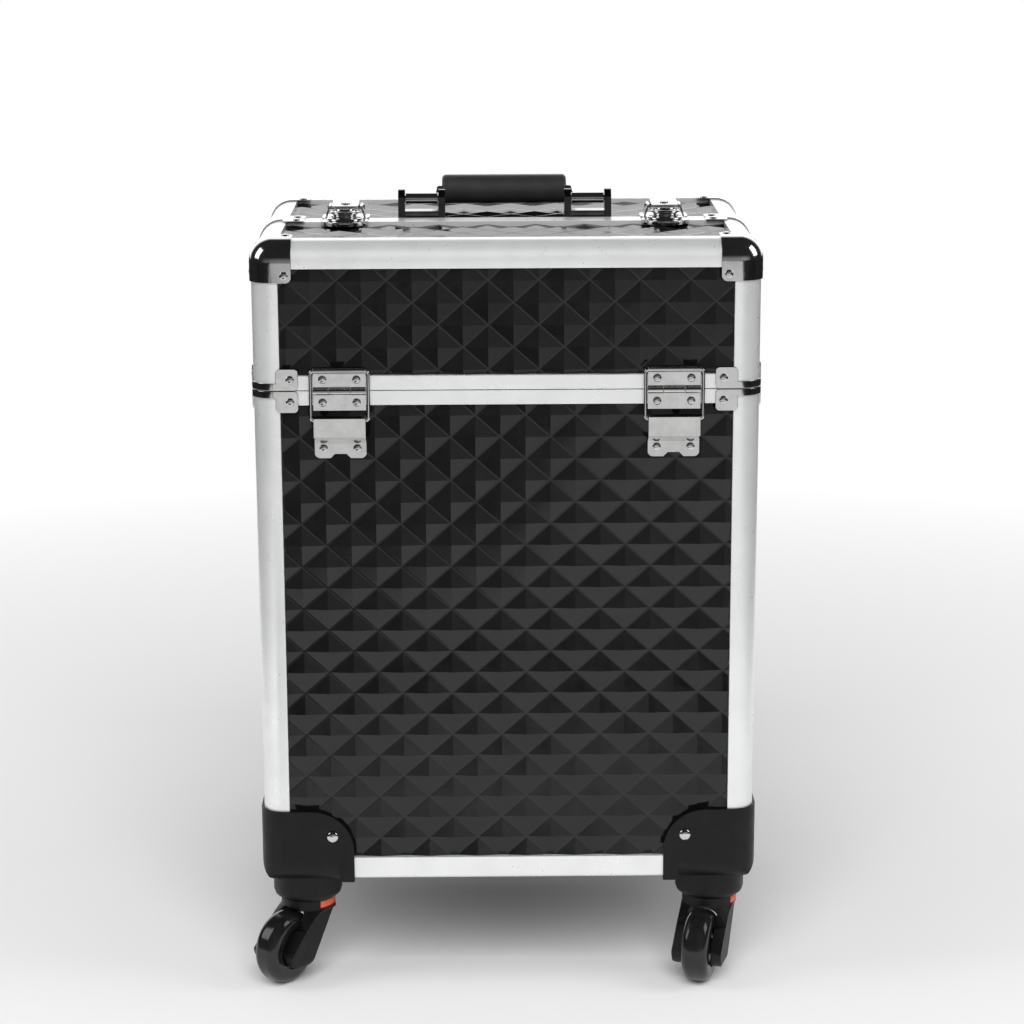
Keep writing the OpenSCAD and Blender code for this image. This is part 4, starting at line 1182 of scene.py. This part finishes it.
@dataclass
class Studio:
    """Pale floor with a painted reflection that only gloss shows, white backdrop, dim room in front, soft
    lamps and the camera.

    Attributes:
        floor_half: Half width of the floor.
        floor_colour: Grey of the floor.
        floor_shade: Share of that grey in the darker specks.
        floor_speck: Size of the specks in millimetres.
        floor_rough: Roughness of the floor.
        fade: Distances from the middle between which the floor turns white to the camera.
        near: Distances from the middle between which gloss goes over from the lit floor to its painted
            reflection.
        sides: Distances to the left and right between which the painted reflection of the floor turns dark,
            a painted shade.
        ambient: Level of the light from all round.
        room: Levels of the dim room in front as gloss shows it, on the left and on the right.
        ceiling: Level of the dim ceiling and sides as gloss shows them.
        backdrop: Level of the lit backdrop as gloss shows it.
        painted_reflection_levels: Levels of the floor's painted reflection, a glow that only gloss shows,
            by place along Y; its dips are painted shade.
        painted_dark_patches: Dark patches painted into that reflection in front as painted shade: the edges
            of each along X and along Y.
        patch_level: Share of the reflection's level that a dark patch leaves.
        patch_edge: Shares of a dark patch's half width between which it fades out.
        room_turn: Directions along X between which the room goes from its left to its right level.
        room_front: Directions along Y between which the room in front gives way to the sides.
        room_top: Directions along Z between which the room gives way to the ceiling.
        backdrop_side: Directions along Y between which the backdrop sets in.
        backdrop_top: Directions along Z between which the backdrop ends.
        aim: Point that the lamps face.
        side_place: Place of the right side lamp. The left one is its mirror image.
        side_size: Width and height of the side lamps.
        side_power: Power of each side lamp in watts.
        key_place: Place of the lamp in front.
        key_size: Width and height of the lamp in front.
        key_power: Power of the lamp in front in watts.
        eye: Place of the camera.
        pitch: Degrees that the camera looks down.
        yaw: Degrees that it is turned to the left.
        roll: Degrees that it is tilted to the left.
        lens: Focal length in millimetres.
        sensor: Width of the sensor in millimetres.
    """

    floor_half: float = 9.0
    floor_colour: float = 0.88
    floor_shade: float = 0.99
    floor_speck: float = 90.0
    floor_rough: float = 0.7
    fade: Pair = (0.3, 1.5)
    near: Pair = (0.5, 0.75)
    sides: Pair = (0.8, 1.1)
    ambient: float = 0.34
    room: Pair = (0.14, 0.34)
    ceiling: float = 0.02
    backdrop: float = 1.6
    # Levels of the painted reflection along Y; the dip near Y -1.2 and the dark far end are painted shade
    painted_reflection_levels: tuple[Pair, ...] = (
        (-6.0, 0.30), (-3.4, 0.75), (-2.2, 0.85), (-1.5, 0.70), (-1.2, 0.42), (-0.95, 0.80),
        (-0.75, 1.0), (1.0, 1.0))
    # Dark patches painted into that reflection in front: painted shade
    painted_dark_patches: tuple[tuple[Pair, Pair], ...] = (
        ((-0.46, -0.12), (-1.30, -0.62)), ((-0.80, -0.44), (-3.60, -2.20)))
    patch_level: float = 0.12
    patch_edge: Pair = (0.9, 1.1)
    room_turn: Pair = (-0.25, 0.25)
    room_front: Pair = (-0.9, -0.6)
    room_top: Pair = (0.1, 0.35)
    backdrop_side: Pair = (0.6, 0.85)
    backdrop_top: Pair = (0.6, 0.9)
    aim: Triple = (0, 0, 0.3)
    side_place: Triple = (1.63, -0.3, 1.35)
    side_size: Pair = (0.75, 1.15)
    side_power: float = 7.5
    key_place: Triple = (0, -2.5, 2.3)
    key_size: Pair = (2.4, 2.2)
    key_power: float = 90.0
    eye: Triple = (-15.1 * MM, -1993.0 * MM, 798.3 * MM)
    pitch: float = 13.5
    yaw: float = -0.56
    roll: float = -0.22
    lens: float = 97.3
    sensor: float = 36.0

    def mirror_ray(self, sheet: NodeSheet) -> Socket:
        """Returns 1 for the rays that glossy and clear surfaces send on."""
        path = sheet.add("ShaderNodeLightPath").outputs
        return sheet.math("MAXIMUM", path["Is Glossy Ray"], path["Is Transmission Ray"])

    def lay_floor(self) -> None:
        """Lays the floor, pale near the case and white further off, with a painted reflection that only
        gloss shows.
        """
        half = self.floor_half
        mesh = bpy.data.meshes.new("studio_floor")
        mesh.from_pydata([(-half, -half, 0), (half, -half, 0), (half, half, 0), (-half, half, 0)], [],
                         [(0, 1, 2, 3)])
        floor = bpy.data.objects.new("studio_floor", mesh)
        bpy.context.scene.collection.objects.link(floor)
        material = bpy.data.materials.new("pale_floor")
        material.use_nodes = True
        sheet = ShaderSheet(material.node_tree)
        grey = (self.floor_colour, self.floor_colour, self.floor_colour)
        shade = tuple(value * self.floor_shade for value in grey)
        paint = sheet.add("ShaderNodeBsdfPrincipled", {
            "Base Color": sheet.tint(sheet.noise(self.floor_speck), shade, grey),
            "Roughness": self.floor_rough})
        paint.inputs["Specular IOR Level"].default_value = 0.0
        away = sheet.add("ShaderNodeVectorMath", {0: sheet.place}, operation="LENGTH").outputs["Value"]
        far = sheet.band(away, 0.0, 1.0, *(distance / MM for distance in self.fade))
        white = sheet.add("ShaderNodeEmission", {"Strength": 1.0})
        camera = sheet.add("ShaderNodeLightPath").outputs["Is Camera Ray"]
        shown = sheet.add("ShaderNodeMixShader", {
            0: sheet.math("MULTIPLY", far, camera), 1: paint.outputs["BSDF"],
            2: white.outputs["Emission"]})
        # Painted reflection: from the near distances on, gloss sees a painted glow in place of the lit
        # floor
        off = sheet.band(away, 0.0, 1.0, *(distance / MM for distance in self.near))
        share = sheet.math("MULTIPLY", off, self.mirror_ray(sheet))
        painted_glow = sheet.add("ShaderNodeEmission", {"Strength": self.painted_floor_reflection(sheet)})
        whole = sheet.add("ShaderNodeMixShader", {
            0: share, 1: shown.outputs["Shader"], 2: painted_glow.outputs["Emission"]})
        sheet.add("ShaderNodeOutputMaterial", {"Surface": whole.outputs["Shader"]})
        mesh.materials.append(material)

    def painted_floor_reflection(self, sheet: ShaderSheet) -> Socket:
        """Lays the painted reflection of the floor, a glow that only gloss shows, with its painted dark
        patches.

        Args:
            sheet: Where the nodes go.

        Returns:
            The socket with the level.
        """
        place = sheet.add("ShaderNodeSeparateXYZ", {"Vector": sheet.place}).outputs
        nearest, furthest = self.painted_reflection_levels[0][0], self.painted_reflection_levels[-1][0]
        along = sheet.band(place["Y"], 0.0, 1.0, nearest / MM, furthest / MM)
        ramp = sheet.add("ShaderNodeValToRGB", {"Fac": along})
        stops = ramp.color_ramp.elements
        for _ in self.painted_reflection_levels[2:]:
            stops.new(0.5)
        for stop, (y, level) in zip(stops, self.painted_reflection_levels):
            stop.position = (y - nearest) / (furthest - nearest)
            stop.color = (level, level, level, 1)
        level = ramp.outputs["Color"]
        # Painted shade: dark patches painted into the reflection in front
        for patch in self.painted_dark_patches:
            inside = 1.0
            for axis, (low, high) in zip("XY", patch):
                middle, half = (low + high) / 2 / MM, (high - low) / 2 / MM
                off = sheet.math("ABSOLUTE", sheet.math("SUBTRACT", place[axis], middle))
                edge = sheet.band(off, 1.0, 0.0, *(half * share for share in self.patch_edge))
                inside = sheet.math("MULTIPLY", inside, edge)
            kept = sheet.band(inside, 1.0, self.patch_level, 0.0, 1.0)
            level = sheet.math("MULTIPLY", level, kept)
        # Painted shade: the reflection darkens to the left and right
        aside = sheet.math("ABSOLUTE", place["X"])
        dark = sheet.band(aside, 1.0, self.ceiling, *(distance / MM for distance in self.sides))
        return sheet.math("MULTIPLY", level, dark)

    def mirrored_room(self, sheet: NodeSheet) -> Socket:
        """Lays the level of the surroundings as gloss shows them: white behind, dim elsewhere.

        Args:
            sheet: Where the nodes go.

        Returns:
            The socket with the level.
        """
        toward = sheet.add("ShaderNodeTexCoord").outputs["Generated"]
        way = sheet.add("ShaderNodeSeparateXYZ", {"Vector": toward}).outputs
        front = sheet.band(way["X"], *self.room, *self.room_turn)
        low = sheet.band(way["Y"], front, self.ceiling, *self.room_front)
        dim = sheet.band(way["Z"], low, self.ceiling, *self.room_top)
        side = sheet.band(way["Y"], 0.0, 1.0, *self.backdrop_side)
        top = sheet.band(way["Z"], 1.0, 0.0, *self.backdrop_top)
        behind = sheet.math("MULTIPLY", side, top)
        return sheet.band(behind, dim, self.backdrop, 0.0, 1.0)

    def light_world(self) -> None:
        """Makes the surroundings: white to the camera, an even soft light, and a room for gloss."""
        world = bpy.data.worlds.new("studio")
        bpy.context.scene.world = world
        world.use_nodes = True
        sheet = NodeSheet(world.node_tree)
        world.node_tree.nodes.clear()
        camera = sheet.add("ShaderNodeLightPath").outputs["Is Camera Ray"]
        levels = (self.ambient, self.mirrored_room(sheet), 1.0)
        soft, around, white = (
            sheet.add("ShaderNodeBackground", {
                "Color": (1, 1, 1, 1), "Strength": level}).outputs["Background"]
            for level in levels)
        seen = sheet.add("ShaderNodeMixShader", {0: self.mirror_ray(sheet), 1: soft, 2: around})
        shown = sheet.add("ShaderNodeMixShader", {0: camera, 1: seen.outputs["Shader"], 2: white})
        sheet.add("ShaderNodeOutputWorld", {"Surface": shown.outputs["Shader"]})

    def hang_lamps(self) -> None:
        """Hangs the soft lamps round the case."""
        aim = Vector(self.aim)
        across, along, up = self.side_place
        for name, side in (("left_softbox", -1), ("right_softbox", 1)):
            place = Vector((side * across, along, up))
            Softbox(name, place, aim, self.side_size, self.side_power).set_up()
        key = Vector(self.key_place)
        Softbox("front_key", key, aim, self.key_size, self.key_power, mirrored=False).set_up()

    def set_camera(self) -> None:
        """Stands the camera where the photograph was taken."""
        data = bpy.data.cameras.new("camera")
        data.lens, data.sensor_width = self.lens, self.sensor
        camera = bpy.data.objects.new("camera", data)
        bpy.context.scene.collection.objects.link(camera)
        # A camera that isn't turned looks straight down, and 90 degrees bring it level
        turn = (Matrix.Rotation(math.radians(self.yaw), 4, "Z")
                @ Matrix.Rotation(math.radians(90 - self.pitch), 4, "X")
                @ Matrix.Rotation(math.radians(self.roll), 4, "Z"))
        camera.matrix_world = Matrix.Translation(self.eye) @ turn
        bpy.context.scene.camera = camera

    def build(self) -> None:
        """Sets up the whole studio."""
        bpy.context.scene.view_settings.view_transform = "Standard"
        self.set_camera()
        self.lay_floor()
        self.light_world()
        self.hang_lamps()
        LOG.info("studio: camera, floor, surroundings and lamps")


def main() -> None:
    """Builds the case part by part and reports each piece."""
    logging.basicConfig(level=logging.INFO, format="%(message)s")
    for part in (
        Studio(), RailFrame(), EmbossedPanels(), CornerHardware(), RivetHeads(), StopHinges(),
        TopLatches(), CarryHandle(), Casters(), Interior(),
    ):
        part.build()


if __name__ == "__main__":
    main()
